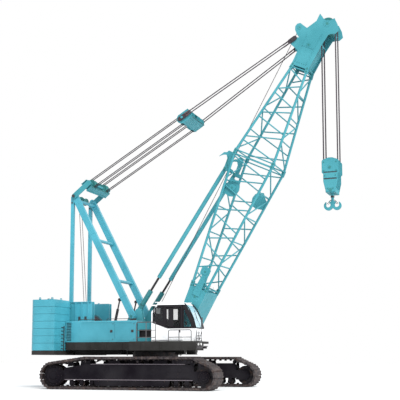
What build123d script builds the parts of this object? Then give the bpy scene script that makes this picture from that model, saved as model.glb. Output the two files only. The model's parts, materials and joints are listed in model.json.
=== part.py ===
from build123d import *
from math import cos, hypot, radians, sin, sqrt
import os

os.makedirs("parts", exist_ok=True)

# A lattice-boom crawler crane, in millimetres. X points forward, Y to the
# operator's left, Z up, with the ground at Z = 0. Places are measured from the
# swing axis, which stands SWING_X ahead of the origin, so that the origin is
# under the middle of the whole crane.

# ------------------------------------------------------------ driving sizes
CLEAR = 0.3                 # gap between pieces that only rest on each other

# undercarriage
GAUGE = 5800                # between the middles of the two tracks
SHOE_WIDTH = 1100
SHOE_PITCH = 264
SHOE_DEPTH = 75             # from the hinge line out to the face of a shoe
LINK_DEPTH = 60             # from the hinge line in to the roller path
SHOE_SLOT = 34              # opening between neighbouring shoes
SHOE_START = 45             # the first shoe's place along the loop
TUMBLER_X, TUMBLER_R = -3500, 600       # radius over the shoes
IDLER_X, IDLER_R = 3530, 570
TOP_RUN_Z = 1420            # face of the shoes on the top run
CARRIER_X = (-1960, 510, 2980)
CARRIER_R = 80
ROLLER_COUNT, ROLLER_R = 12, 130
ROLLER_FIRST_X, ROLLER_LAST_X = -2640, 2760
TREAD_WIDTH, TREAD_OUT = 95, 235        # of rollers and wheels, out from the middle
LUG_HEIGHT = 60
AXLE_R = 45
FRAME_WIDTH = 620
FRAME_LOW, FRAME_HIGH = 410, 1115
FRAME_PLATE = 60
GIRDER_REAR, GIRDER_FRONT, YOKE = -2990, 3060, 230
DRIVE_R, DRIVE_DEPTH = 330, 190
BEAM_X, BEAM_WIDTH = 1080, 620
BEAM_LOW, BEAM_HIGH = 640, 1220
CARBODY_HALF, CARBODY_CORNER, CARBODY_LOW, CARBODY_HIGH = 1450, 508, 500, 1300
PAD_REACH, PAD_R = 1280, 140
RING_R, RING_LOW, RING_HIGH = 1050, 1350, 1620

# revolving frame and what stands on it
DECK_Z, DECK_PLATE, DECK_HALF = 2080, 60, 1700
DECK_REAR, DECK_FRONT = -3750, 1750
SILL_LOW, SILL_WIDTH = 1720, 110
BEAM_IN, BEAM_OUT = 560, 880            # main beams of the frame, either side
TAIL_X, TAIL_FRONT_X = -5060, -3810
TAIL_HALF, TAIL_IN = 2700, 1250
TRAY_LOW, TRAY_HIGH = 1500, 1690
SLAB_COUNT, SLAB_TOP, SLAB_GROOVE, TAIL_ROUND = 7, 4000, 14, 260
HOUSE_IN, HOUSE_WALL, HOUSE_TOP = 1110, 40, 3040
HOUSE_REAR, HOUSE_FRONT_RIGHT, HOUSE_FRONT_LEFT = -3450, -200, 1000
TOWER_HALF, TOWER_REAR, TOWER_FRONT, TOWER_TOP = 1060, -4200, -2770, 3970
DRUM_R, DRUM_HALF, DRUM_FLANGE = 270, 420, 60
DRUM_PLACES = ((-2150, 2560), (-1330, 2560), (-3330, 3060))   # main, second, boom hoist

# cab
CAB_OUT, CAB_IN, CAB_WALL = 2050, 950, 55
CAB_REAR, CAB_FRONT, CAB_ROOF_FRONT = 650, 2720, 2180
CAB_TOP, CAB_SILL = 3800, 2620
DOOR_REAR, DOOR_FRONT, DOOR_LOW, DOOR_HIGH = 1290, 2110, 2190, 3640
DOOR_THICK, GLASS = 42, 12
WALK_OUT, WALK_REAR, WALK_FRONT, WALK_LOW = 2500, -200, 2900, 1980

# boom
FOOT_X, FOOT_Z = 1350, 2200
BOOM_ANGLE = 65
BOOM_PLATED, BOOM_WIDEST, BOOM_NECK = 2500, 8800, 13400      # along the boom
FOOT_DEPTH, FOOT_WIDTH = 850, 1600
WIDEST_DEPTH, WIDEST_WIDTH = 2040, 1980
NECK_REAR, NECK_FRONT, NECK_WIDTH = -310, 530, 1000
CHORD_R, LACING_R, PIN_R = 58, 30, 70
SHEAVE_S, SHEAVE_M, SHEAVE_R = 15610, 486, 325
ROPE_R = 14
PENDANT_S, PENDANT_M = 14430, -715
HEAD_TIP_S, HEAD_TIP_M = 15480, 1110
IDLER_SHEAVE_S, IDLER_SHEAVE_M, IDLER_SHEAVE_R = 15060, -640, 190

# gantry, luffing tackle and backstops
LEG_FOOT_X, LEG_FOOT_Z, LEG_Y, LEG_WIDTH, LEG_DEPTH = -750, 3250, 920, 180, 300
GANTRY_X, GANTRY_Z, GANTRY_PIN_R = -3800, 9000, 55
CROSSBAR_DOWN = (210, 2410, 4610)       # from the head of the gantry down its legs
POST_X, POST_TOP, CYLINDER_R, CYLINDER_EYE, CYLINDER_REACH = -1650, 2880, 62, 70, 1000
LINK_X, LINK_FOOT_Z, LINK_TOP_Z, LINK_WIDTH, LINK_PIN_R = -3920, 3800, 8700, 150, 45
TACKLE_X, TACKLE_Z = -3050, 9600
BRIDLE_REACH, BRIDLE_HALF, BRIDLE_SHEAVE_Y, BRIDLE_SHEAVE_R = 6400, 900, 640, 200
PENDANT_Y_HEAD, PENDANT_R = 545, 24
STOP_X, STOP_Z, STOP_Y = -500, 3600, 700
STOP_S, STOP_M = 7920, -1148
BARREL_LENGTH, BARREL_R, ROD_SHOWN, ROD_INSIDE, ROD_R = 1000, 115, 700, 2400, 52
STOP_TUBE_R = 95

# hook block
BLOCK_TOP, BLOCK_LOW, HOOK_LOW = 10080, 8530, 7800
BLOCK_WIDTH, BLOCK_HALF, WEIGHT = 750, 425, 30

# ------------------------------------------------------- places worked out
BOOM_AXIS = Vector(cos(radians(BOOM_ANGLE)), 0, sin(radians(BOOM_ANGLE)))
BOOM_FRONT = Vector(sin(radians(BOOM_ANGLE)), 0, -cos(radians(BOOM_ANGLE)))
FRONT_X = FOOT_X + (BOOM_AXIS * HEAD_TIP_S + BOOM_FRONT * HEAD_TIP_M).X
SWING_X = -(TAIL_X + FRONT_X) / 2
PATH_IN = SHOE_DEPTH + LINK_DEPTH       # from the ground up to the roller path
FRAME_IN = GAUGE / 2 - FRAME_WIDTH / 2
GIRDER = ((GIRDER_REAR, FRAME_LOW), (GIRDER_FRONT, FRAME_LOW), (GIRDER_FRONT, FRAME_HIGH - 110),
          (GIRDER_FRONT - 360, FRAME_HIGH), (CARRIER_X[0] + 200, FRAME_HIGH),
          (GIRDER_REAR, FRAME_HIGH - 180))
GIRDER_TOP = dict(zip(CARRIER_X, (FRAME_HIGH - 60, FRAME_HIGH, FRAME_HIGH - 110)))


def at(x, y, z):
    """Point measured from the swing axis."""
    return Vector(SWING_X + x, y, z)


def on_boom(s, m, y=0):
    """Point s along the boom from its foot pin and m to the front of its middle."""
    return at(FOOT_X, y, FOOT_Z) + BOOM_AXIS * s + BOOM_FRONT * m


def side(y=0):
    """Plane of a side view: x forward, y up; it extrudes towards -Y."""
    return Plane(origin=at(0, y, 0), x_dir=(1, 0, 0), z_dir=(0, -1, 0))


def level(z):
    """Plane of a plan view."""
    return Plane(origin=at(0, 0, z))


def boom_side(y=0):
    """Side view in the boom's own axes: x along it, y to its front; extrudes to +Y."""
    return Plane(origin=at(FOOT_X, y, FOOT_Z), x_dir=BOOM_AXIS, z_dir=(0, 1, 0))


def block(x, y, z):
    """Bar between (low, high) pairs, added to the part being built."""
    with BuildSketch(level(z[0])) as outline:
        with Locations(((x[0] + x[1]) / 2, (y[0] + y[1]) / 2)):
            Rectangle(abs(x[1] - x[0]), abs(y[1] - y[0]))
    extrude(outline.sketch, amount=z[1] - z[0])


def plate(points, y, thick, plane=side, mode=Mode.ADD):
    """Flat plate with the outline given in a side view, centred on y."""
    with BuildSketch(plane(y)) as outline:
        with BuildLine():
            Polyline(*points, close=True)
        make_face()
    extrude(outline.sketch, amount=thick / 2, both=True, mode=mode)


def tube(start, end, radius, bore=0, mode=Mode.ADD):
    """Round tube or bar between two points."""
    run = end - start
    with BuildSketch(Plane(origin=start, z_dir=run)) as section:
        Circle(radius)
        if bore:
            Circle(bore, mode=Mode.SUBTRACT)
    extrude(section.sketch, amount=run.length, mode=mode)


def beam(start, end, width, depth):
    """Square-sectioned beam in a plane of constant Y, width being along Y."""
    run = end - start
    with BuildSketch(Plane(origin=start, x_dir=(0, 1, 0), z_dir=run)) as section:
        Rectangle(width, depth)
    extrude(section.sketch, amount=run.length)


def across(x, z, y0, y1, radius, bore=0, mode=Mode.ADD):
    """Round bar along Y."""
    tube(at(x, y0, z), at(x, y1, z), radius, bore, mode)


def wheel(centre, profile):
    """Solid of revolution about Y; profile is (across, radius) pairs from one side."""
    with BuildSketch(Plane(origin=centre, x_dir=(0, 1, 0), z_dir=(1, 0, 0))) as half:
        with BuildLine():
            Polyline((profile[0][0], 0), *profile, (profile[-1][0], 0), close=True)
        make_face()
    revolve(half.sketch, axis=Axis(centre, (0, 1, 0)))


def grooved(half_width, radius, groove_half, groove, hub, hub_half):
    """Profile of a wheel with two treads, a groove between and hubs outside."""
    return ((-hub_half, hub), (-half_width, hub), (-half_width, radius),
            (-groove_half, radius), (-groove_half, groove), (groove_half, groove),
            (groove_half, radius), (half_width, radius), (half_width, hub), (hub_half, hub))


def keep(name, label):
    name.part.label = label
    export_step(name.part, f"parts/{label}.step")


SIDES = (("right", -1), ("left", 1))

# -------------------------------------------------------------- undercarriage
WHEELS = ((TUMBLER_X, TUMBLER_R, TUMBLER_R), (IDLER_X, IDLER_R, IDLER_R)) + tuple(
    (x, TOP_RUN_Z - PATH_IN - CARRIER_R, PATH_IN + CARRIER_R)
    for x in (CARRIER_X[0], CARRIER_X[-1]))


def loop_around(inset, y=0):
    """Outline wrapped round the track's wheels, inset from the faces of the shoes."""
    with BuildSketch(side(y)) as loop:
        for x, z, radius in WHEELS:
            with Locations((x, z)):
                Circle(radius - inset)
        make_hull()
    return loop.sketch


def teeth(path, base, crest, tooth):
    """Closed row of teeth along a path: base and crest are the heights off it."""
    count = round(path.length / SHOE_PITCH)
    corners = []
    for i in range(count):
        for place, height in ((0, base), (0, crest), (tooth, crest), (tooth, base)):
            part = ((i + place) / count + SHOE_START / path.length) % 1
            out = (path % part).cross(Vector(0, 1, 0))
            corners.append((path @ part) + out * height)
    return [(p.X - SWING_X, p.Z) for p in corners]


HINGE_LINE = loop_around(SHOE_DEPTH).faces()[0].outer_wire()
LOOP_MIDDLE = at((TUMBLER_X + IDLER_X) / 2, 0, TOP_RUN_Z / 2)
OUTWARD = 1 if (HINGE_LINE % 0).cross(Vector(0, 1, 0)).dot((HINGE_LINE @ 0) - LOOP_MIDDLE) > 0 else -1

for label, hand in SIDES:
    middle = hand * GAUGE / 2
    with BuildPart() as track:
        slot = 1 - SHOE_SLOT / SHOE_PITCH
        plate(teeth(HINGE_LINE, OUTWARD * SHOE_DEPTH * 0.3, OUTWARD * SHOE_DEPTH, slot),
              middle, SHOE_WIDTH)
        extrude(loop_around(PATH_IN, middle), amount=SHOE_WIDTH / 2, both=True,
                mode=Mode.SUBTRACT)
    keep(track, f"track_{label}")

HUB_OUT = FRAME_WIDTH / 2 - FRAME_PLATE - CLEAR
tumbler_profile, idler_profile = [
    grooved(TREAD_OUT, radius - PATH_IN - CLEAR, TREAD_OUT - TREAD_WIDTH,
            radius - PATH_IN - LUG_HEIGHT - 30, AXLE_R * 3, HUB_OUT)
    for radius in (TUMBLER_R, IDLER_R)]
roller_profile = grooved(TREAD_OUT, ROLLER_R, TREAD_OUT - TREAD_WIDTH, AXLE_R * 1.5,
                         AXLE_R, FRAME_WIDTH / 2 + 10)
ROLLER_Z = PATH_IN + ROLLER_R + CLEAR
ROLLER_STEP = (ROLLER_LAST_X - ROLLER_FIRST_X) / (ROLLER_COUNT - 1)
ROLLER_X = [ROLLER_FIRST_X + ROLLER_STEP * i for i in range(ROLLER_COUNT)]
CARRIER_Z = TOP_RUN_Z - PATH_IN - CARRIER_R - CLEAR

with BuildPart() as track_wheels:
    for label, hand in SIDES:
        wheel(at(TUMBLER_X, hand * GAUGE / 2, TUMBLER_R), tumbler_profile)
        wheel(at(IDLER_X, hand * GAUGE / 2, IDLER_R), idler_profile)
keep(track_wheels, "track_wheels")

for label, hand in SIDES:
    with BuildPart() as track_rollers:
        for x in ROLLER_X:
            wheel(at(x, hand * GAUGE / 2, ROLLER_Z), roller_profile)
        for x in CARRIER_X:
            wheel(at(x, hand * GAUGE / 2, CARRIER_Z),
                  ((-FRAME_WIDTH / 2, AXLE_R), (-TREAD_OUT, AXLE_R), (-TREAD_OUT, CARRIER_R),
                   (TREAD_OUT, CARRIER_R), (TREAD_OUT, AXLE_R), (FRAME_WIDTH / 2, AXLE_R)))
    keep(track_rollers, f"track_rollers_{label}")


def bearing(x, z, reach, radius, y, thick, bore):
    """Round-ended plate that carries an axle; reach is where its root lies in z."""
    with BuildSketch(side(y)) as outline:
        with Locations((x, (z + reach) / 2)):
            Rectangle(radius * 2, abs(z - reach))
        with Locations((x, z)):
            Circle(radius)
            Circle(bore + CLEAR, mode=Mode.SUBTRACT)
    extrude(outline.sketch, amount=thick / 2, both=True)


for label, hand in SIDES:
    middle = hand * GAUGE / 2
    cheeks = [middle + edge * (FRAME_WIDTH - FRAME_PLATE) / 2 for edge in (-1, 1)]
    with BuildPart() as crawler_frame:
        # box girder between the end wheels
        plate(GIRDER, middle, FRAME_WIDTH)
        # cheeks that carry the tumbler and the idler
        for x, z, root in ((TUMBLER_X, TUMBLER_R, GIRDER_REAR), (IDLER_X, IDLER_R, GIRDER_FRONT)):
            for y in cheeks:
                plate(((x, z - YOKE), (root, z - YOKE), (root, z + YOKE), (x, z + YOKE)),
                      y, FRAME_PLATE)
                across(x, z, y - FRAME_PLATE / 2, y + FRAME_PLATE / 2, YOKE)
        # bearings of the rollers, under and on top of the girder
        for x in ROLLER_X:
            for y in cheeks:
                bearing(x, ROLLER_Z, FRAME_LOW, AXLE_R * 1.9, y, FRAME_PLATE, AXLE_R)
        for x in CARRIER_X:
            for y in cheeks:
                bearing(x, CARRIER_Z, GIRDER_TOP[x], AXLE_R * 1.5, y, FRAME_PLATE, AXLE_R)
        # final drive on the inner side
        across(TUMBLER_X, TUMBLER_R, middle - hand * FRAME_WIDTH / 2,
               middle - hand * (FRAME_WIDTH / 2 + DRIVE_DEPTH), DRIVE_R)
    keep(crawler_frame, f"crawler_frame_{label}")



def carbody_box(grow, mode):
    """Middle of the carbody with its round corners, larger by grow all round."""
    with BuildSketch(level(CARBODY_LOW)) as plan:
        RectangleRounded((CARBODY_HALF + grow) * 2, (CARBODY_HALF + grow) * 2,
                         CARBODY_CORNER + grow)
    extrude(plan.sketch, amount=CARBODY_HIGH - CARBODY_LOW, mode=mode)


with BuildPart() as carbody:
    carbody_box(0, Mode.ADD)
    for x in (-PAD_REACH, PAD_REACH):
        for y in (-PAD_REACH, PAD_REACH):
            tube(at(x, y, CARBODY_LOW - 60), at(x, y, CARBODY_LOW), PAD_R)
    tube(at(0, 0, CARBODY_HIGH), at(0, 0, RING_LOW - CLEAR), RING_R + 60, RING_R - 260)
keep(carbody, "carbody")

with BuildPart() as axle_beams:
    for label, hand in SIDES:
        for x in (-BEAM_X, BEAM_X):
            block((x - BEAM_WIDTH / 2, x + BEAM_WIDTH / 2),
                  sorted((hand * (CARBODY_HALF - CARBODY_CORNER), hand * FRAME_IN)),
                  (BEAM_LOW, BEAM_HIGH))
    carbody_box(CLEAR, Mode.SUBTRACT)
keep(axle_beams, "axle_beams")

# ------------------------------------------------------------ revolving frame
with BuildPart() as slewing_ring:
    tube(at(0, 0, RING_LOW), at(0, 0, RING_HIGH), RING_R, RING_R - 170)
keep(slewing_ring, "slewing_ring")

EAR_THICK, EAR_R, FOOT_RELIEF_R = 60, 170, 185      # lugs of the boom's foot
CROSS_X = (-3100, -1700, 1650)
with BuildPart() as revolving_frame:
    # deck plate, main beams, sills and the turntable under them
    block((DECK_REAR, DECK_FRONT), (-DECK_HALF, DECK_HALF), (DECK_Z - DECK_PLATE, DECK_Z))
    tube(at(0, 0, RING_HIGH), at(0, 0, DECK_Z - DECK_PLATE), RING_R + 90, RING_R - 170)
    for label, hand in SIDES:
        block((DECK_REAR, DECK_FRONT), sorted((hand * BEAM_IN, hand * BEAM_OUT)),
              (RING_HIGH, DECK_Z - DECK_PLATE))
        block((TOWER_REAR, DECK_REAR), sorted((hand * BEAM_IN, hand * BEAM_OUT)),
              (TRAY_HIGH, DECK_Z))
        block((DECK_REAR, DECK_FRONT), sorted((hand * (DECK_HALF - SILL_WIDTH), hand * DECK_HALF)),
              (SILL_LOW, DECK_Z - DECK_PLATE))
        # room for the foot of the boom
        across(FOOT_X, FOOT_Z, hand * (BEAM_IN + EAR_THICK), hand * (BEAM_OUT - EAR_THICK),
               FOOT_RELIEF_R, mode=Mode.SUBTRACT)
    for x in CROSS_X:
        block((x - 50, x + 50), (-DECK_HALF, DECK_HALF), (SILL_LOW, DECK_Z - DECK_PLATE))
keep(revolving_frame, "revolving_frame")

# pairs of lugs on the deck, with the foot pins of the boom
with BuildPart() as foot_brackets:
    for label, hand in SIDES:
        for low in (BEAM_IN, BEAM_OUT - EAR_THICK):
            y = hand * (low + EAR_THICK / 2)
            plate(((FOOT_X - 400, DECK_Z), (FOOT_X + 330, DECK_Z), (FOOT_X + EAR_R, FOOT_Z),
                   (FOOT_X - EAR_R, FOOT_Z)), y, EAR_THICK)
            with BuildSketch(side(y)) as head:
                with Locations((FOOT_X, FOOT_Z)):
                    Circle(EAR_R)
                with Locations((FOOT_X, DECK_Z - EAR_R)):
                    Rectangle(EAR_R * 2, EAR_R * 2, mode=Mode.SUBTRACT)
            extrude(head.sketch, amount=EAR_THICK / 2, both=True)
        across(FOOT_X, FOOT_Z, hand * (BEAM_IN - 25), hand * (BEAM_OUT + 25), PIN_R)
keep(foot_brackets, "foot_brackets")

with BuildPart() as counterweight_tray:
    with BuildSketch(level(TRAY_LOW)) as plan:
        with Locations(((TAIL_X + TAIL_FRONT_X) / 2, 0)):
            Rectangle(TAIL_FRONT_X - TAIL_X, TAIL_HALF * 2)
        fillet(plan.vertices().group_by(Axis.X)[0], TAIL_ROUND)
    extrude(plan.sketch, amount=TRAY_HIGH - TRAY_LOW)
keep(counterweight_tray, "counterweight_tray")

SLAB_HEIGHT = (SLAB_TOP - TRAY_HIGH) / SLAB_COUNT
for label, hand in SIDES:
    with BuildPart() as counterweight_stack:
        for i in range(SLAB_COUNT):
            base = TRAY_HIGH + i * SLAB_HEIGHT
            for inset, low, high in ((30, 0, SLAB_GROOVE), (0, SLAB_GROOVE, SLAB_HEIGHT)):
                with BuildSketch(level(base + low)) as plan:
                    with Locations(((TAIL_X + TAIL_FRONT_X) / 2, hand * (TAIL_HALF + TAIL_IN) / 2)):
                        Rectangle(TAIL_FRONT_X - TAIL_X - inset * 2, TAIL_HALF - TAIL_IN - inset * 2)
                    rear = plan.vertices().group_by(Axis.X)[0]
                    fillet(rear.sort_by(Axis.Y)[0 if hand < 0 else -1], TAIL_ROUND - inset)
                extrude(plan.sketch, amount=high - low)
    keep(counterweight_stack, f"counterweight_stack_{label}")

# rear tower: two cheeks with cross plates, which carry the gantry's rear links
with BuildPart() as rear_tower:
    for label, hand in SIDES:
        for y in (LEG_Y - 110, LEG_Y + 110):
            plate(((TOWER_REAR, DECK_Z), (TOWER_FRONT, DECK_Z), (TOWER_FRONT, TOWER_TOP - 30),
                   (TOWER_FRONT - 30, TOWER_TOP), (TOWER_REAR, TOWER_TOP)), hand * y, 50)
        across(LINK_X, LINK_FOOT_Z, hand * (LEG_Y - 135), hand * (LEG_Y + 160), LINK_PIN_R)
    block((TOWER_REAR, TOWER_REAR + 50), (-TOWER_HALF, TOWER_HALF), (DECK_Z, TOWER_TOP - 500))
keep(rear_tower, "rear_tower")

# houses: sheet boxes either side of the winches, with doors in their outer walls
HOUSES = (                  # name, hand, front, then (door, hinge x, free edge x)
    ("right", -1, HOUSE_FRONT_RIGHT, (("rear", -3030, -1300), ("front", -1250, -260))),
    ("left", 1, HOUSE_FRONT_LEFT, (("rear", -3030, -1300), ("front", -1250, 940))),
)
DOOR_GAP, HOUSE_DOOR_LOW, HOUSE_DOOR_HIGH = 6, DECK_Z + 60, HOUSE_TOP - 90
KNUCKLE_R, KNUCKLE_LENGTH = 15, 110
KNUCKLE_Z = (HOUSE_DOOR_LOW + 90, HOUSE_DOOR_HIGH - 90 - KNUCKLE_LENGTH)
for label, hand, front, doors in HOUSES:
    with BuildPart() as house:
        y = sorted((hand * HOUSE_IN, hand * DECK_HALF))
        block((HOUSE_REAR, front), y, (DECK_Z, HOUSE_TOP))
        fillet(house.edges().filter_by(Axis.X).group_by(Axis.Z)[-1], 60)
        offset(amount=-HOUSE_WALL, openings=house.faces().sort_by(Axis.Z)[0])
        for name, hinge, free in doors:
            plate(((hinge - CLEAR, HOUSE_DOOR_LOW - DOOR_GAP), (free + DOOR_GAP, HOUSE_DOOR_LOW - DOOR_GAP),
                   (free + DOOR_GAP, HOUSE_DOOR_HIGH + DOOR_GAP), (hinge - CLEAR, HOUSE_DOOR_HIGH + DOOR_GAP)),
                  hand * DECK_HALF, HOUSE_WALL * 4, mode=Mode.SUBTRACT)
            for z in KNUCKLE_Z:
                tube(at(hinge, hand * DECK_HALF, z - DOOR_GAP),
                     at(hinge, hand * DECK_HALF, z + KNUCKLE_LENGTH + DOOR_GAP),
                     KNUCKLE_R + CLEAR * 2, mode=Mode.SUBTRACT)
    keep(house, f"house_{label}")
    for name, hinge, free in doors:
        with BuildPart() as house_door:
            block((hinge, free), sorted((hand * (DECK_HALF - HOUSE_WALL), hand * DECK_HALF)),
                  (HOUSE_DOOR_LOW, HOUSE_DOOR_HIGH))
            for z in KNUCKLE_Z:
                tube(at(hinge, hand * DECK_HALF, z), at(hinge, hand * DECK_HALF, z + KNUCKLE_LENGTH),
                     KNUCKLE_R)
        keep(house_door, f"house_door_{label}_{name}")

with BuildPart() as engine_block:
    block((-2900, -1500), sorted((HOUSE_IN + 90, DECK_HALF - 90)), (DECK_Z + CLEAR, DECK_Z + 700))
keep(engine_block, "engine_block")

# three rope drums between the houses
with BuildPart() as winch_drums:
    for x, z in DRUM_PLACES:
        wheel(at(x, 0, z), ((-DRUM_HALF, DRUM_R + 90), (-DRUM_HALF + DRUM_FLANGE, DRUM_R + 90),
                            (-DRUM_HALF + DRUM_FLANGE, DRUM_R), (DRUM_HALF - DRUM_FLANGE, DRUM_R),
                            (DRUM_HALF - DRUM_FLANGE, DRUM_R + 90), (DRUM_HALF, DRUM_R + 90)))
keep(winch_drums, "winch_drums")

with BuildPart() as winch_brackets:
    for x, z in DRUM_PLACES:
        for y in (-DRUM_HALF - 45, DRUM_HALF + 45):
            plate(((x - 330, DECK_Z), (x + 330, DECK_Z), (x + 110, z + 120), (x - 110, z + 120)),
                  y, 60)
            across(x, z, y, y - 45 * (1 if y > 0 else -1), AXLE_R)
keep(winch_brackets, "winch_brackets")

# ------------------------------------------------------------------------ cab
CAB_OUTLINE = ((CAB_REAR, DECK_Z), (CAB_FRONT - 90, DECK_Z), (CAB_FRONT, DECK_Z + 240),
               (CAB_FRONT, CAB_SILL), (CAB_ROOF_FRONT, CAB_TOP - 90),
               (CAB_ROOF_FRONT - 160, CAB_TOP), (CAB_REAR + 330, CAB_TOP), (CAB_REAR, CAB_TOP - 420))
CAB_BOW = 90                # how far the windscreen bulges ahead of a straight line
CAB_MIDDLE = -(CAB_OUT + CAB_IN) / 2
CAB_HALF = (CAB_OUT - CAB_IN) / 2


def cab_slice(inset, half, mode=Mode.ADD):
    """Side shape of the cab, inset all round, out to half either side of its middle."""
    sill, brow = CAB_OUTLINE[3], CAB_OUTLINE[4]
    run = hypot(brow[0] - sill[0], brow[1] - sill[1])
    bulge = ((sill[0] + brow[0]) / 2 + CAB_BOW * (brow[1] - sill[1]) / run,
             (sill[1] + brow[1]) / 2 - CAB_BOW * (brow[0] - sill[0]) / run)
    with BuildSketch(side(CAB_MIDDLE)) as outline:
        with BuildLine():
            Polyline(*CAB_OUTLINE[4:], *CAB_OUTLINE[:4])
            ThreePointArc(sill, bulge, brow)
        make_face()
        if inset:
            offset(amount=-inset, kind=Kind.INTERSECTION)
    extrude(outline.sketch, amount=half, both=True, mode=mode)


PANES = {                   # x range, distance from the cab's middle in y, z range
    "screen": ((CAB_ROOF_FRONT - 60, CAB_FRONT + 60), (-CAB_HALF + 110, CAB_HALF - 110),
               (CAB_SILL + 60, CAB_TOP - 130)),
    "rear": ((CAB_REAR - 20, CAB_REAR + 80), (-CAB_HALF + 130, CAB_HALF - 130), (2900, 3320)),
    "quarter": ((CAB_REAR + 90, DOOR_REAR - 70), (-CAB_HALF - 20, -CAB_HALF + 80), (2960, 3560)),
    "inner": ((CAB_REAR + 120, CAB_ROOF_FRONT - 60), (CAB_HALF - 80, CAB_HALF + 20), (2740, 3560)),
}
NOSE_PANE = ((2165, CAB_SILL + 70), (2600, CAB_SILL + 70), (2500, 2880), (2210, 3460), (2165, 3460))
DOORWAY = ((DOOR_REAR + 40, DOOR_FRONT - 40), (-CAB_HALF - 20, -CAB_HALF + 80),
           (DOOR_LOW + 40, DOOR_HIGH - 40))


def pane_block(pane, shrink, mode):
    """The box of a window opening, smaller by shrink all round."""
    x, y, z = [(low + shrink, high - shrink) for low, high in pane]
    with BuildSketch(level(z[0])) as outline:
        with Locations(((x[0] + x[1]) / 2, CAB_MIDDLE + (y[0] + y[1]) / 2)):
            Rectangle(x[1] - x[0], y[1] - y[0])
    extrude(outline.sketch, amount=z[1] - z[0], mode=mode)


def nose_pane(shrink, mode):
    """The three-cornered side window ahead of the door, smaller by shrink all round."""
    with BuildSketch(side(-CAB_OUT + CAB_WALL / 2)) as outline:
        with BuildLine():
            Polyline(*NOSE_PANE, close=True)
        make_face()
        if shrink:
            offset(amount=-shrink, kind=Kind.INTERSECTION)
    extrude(outline.sketch, amount=CAB_WALL, both=True, mode=mode)


DOOR_Y = -CAB_OUT - 8 - DOOR_THICK / 2
with BuildPart() as cab_shell:
    cab_slice(0, CAB_HALF)
    cab_slice(CAB_WALL, CAB_HALF - CAB_WALL, Mode.SUBTRACT)
    for opening in (*PANES.values(), DOORWAY):
        pane_block(opening, 0, Mode.SUBTRACT)
    nose_pane(0, Mode.SUBTRACT)
    for z in ((DOOR_LOW - 45, DOOR_LOW - CLEAR), (DOOR_HIGH + CLEAR, DOOR_HIGH + 45)):
        block((CAB_REAR + 20, DOOR_FRONT + 30), (DOOR_Y - DOOR_THICK / 2, -CAB_OUT), z)
keep(cab_shell, "cab_shell")

with BuildPart() as panes:
    for opening in PANES.values():
        pane_block(opening, CLEAR, Mode.ADD)
    nose_pane(CLEAR, Mode.ADD)
with BuildPart() as cab_glass:
    cab_slice(0, CAB_HALF)
    cab_slice(GLASS, CAB_HALF - GLASS, Mode.SUBTRACT)
    add(panes.part, mode=Mode.INTERSECT)
keep(cab_glass, "cab_glass")

with BuildPart() as cab_door:
    block((DOOR_REAR, DOOR_FRONT), (DOOR_Y - DOOR_THICK / 2, DOOR_Y + DOOR_THICK / 2),
          (DOOR_LOW, DOOR_HIGH))
    with BuildSketch(side(DOOR_Y)) as window:
        with Locations(((DOOR_REAR + DOOR_FRONT) / 2, (CAB_SILL + 60 + DOOR_HIGH - 90) / 2)):
            RectangleRounded(DOOR_FRONT - DOOR_REAR - 160, DOOR_HIGH - 90 - CAB_SILL - 60, 60)
    extrude(window.sketch, amount=DOOR_THICK, both=True, mode=Mode.SUBTRACT)
keep(cab_door, "cab_door")

with BuildPart() as cab_seat:
    block((1180, 1640), (CAB_MIDDLE - 240, CAB_MIDDLE + 240), (2500, 2640))
    block((1050, 1180), (CAB_MIDDLE - 240, CAB_MIDDLE + 240), (2500, 3280))
    block((1280, 1540), (CAB_MIDDLE - 130, CAB_MIDDLE + 130), (DECK_Z + CAB_WALL + CLEAR, 2500))
keep(cab_seat, "cab_seat")

with BuildPart() as cab_platform:
    block((WALK_REAR, WALK_FRONT), (-WALK_OUT, -WALK_OUT + 60), (SILL_LOW - 40, DECK_Z - CLEAR))
    block((WALK_REAR, WALK_FRONT), (-WALK_OUT + 60, -DECK_HALF), (WALK_LOW, WALK_LOW + 40))
    block((DECK_FRONT, WALK_FRONT), (-DECK_HALF, -CAB_IN + 100), (WALK_LOW, DECK_Z - CLEAR))
    for x in (WALK_REAR, 900, 1900, WALK_FRONT - 60):
        block((x, x + 60), (-WALK_OUT + 60, -DECK_HALF), (SILL_LOW + 60, WALK_LOW))
    block((CAB_REAR, WALK_FRONT), (-CAB_OUT - 60, -DECK_HALF), (WALK_LOW + 40, DECK_Z - CLEAR))
    # step box between the cab and the right house, with its dark recess
    block((HOUSE_FRONT_RIGHT + 40, CAB_REAR - 40), (-DECK_HALF, -HOUSE_IN), (DECK_Z, 2940))
    plate(((HOUSE_FRONT_RIGHT + 120, 2280), (CAB_REAR - 120, 2280), (CAB_REAR - 120, 2620),
           (HOUSE_FRONT_RIGHT + 120, 2620)), -DECK_HALF, 240, mode=Mode.SUBTRACT)
keep(cab_platform, "cab_platform")

RAIL_Y, RAIL_R = -WALK_OUT + 30, 19
with BuildPart() as handrails:
    for x, z in ((130, 2910), (800, 2910), (1040, 2560), (1630, 2560), (2120, 2560), (2680, 2560)):
        tube(at(x, RAIL_Y, DECK_Z), at(x, RAIL_Y, z), RAIL_R)
    for x0, x1, z in ((130, 800, 2910), (130, 800, 2560), (130, 800, 2250),
                      (1040, 2680, 2560), (1040, 2680, 2250)):
        tube(at(x0, RAIL_Y, z), at(x1, RAIL_Y, z), RAIL_R)
keep(handrails, "handrails")

# ----------------------------------------------------------------------- boom
STATIONS = (                # along the boom; rear, front and half width over the chords
    (BOOM_PLATED, -FOOT_DEPTH / 2, FOOT_DEPTH / 2, FOOT_WIDTH / 2),
    (BOOM_WIDEST, -WIDEST_DEPTH / 2, WIDEST_DEPTH / 2, WIDEST_WIDTH / 2),
    (BOOM_NECK, NECK_REAR, NECK_FRONT, NECK_WIDTH / 2),
)
CORNERS = ((0, -1), (1, -1), (1, 1), (0, 1))      # rear or front, right or left; in turn


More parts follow.
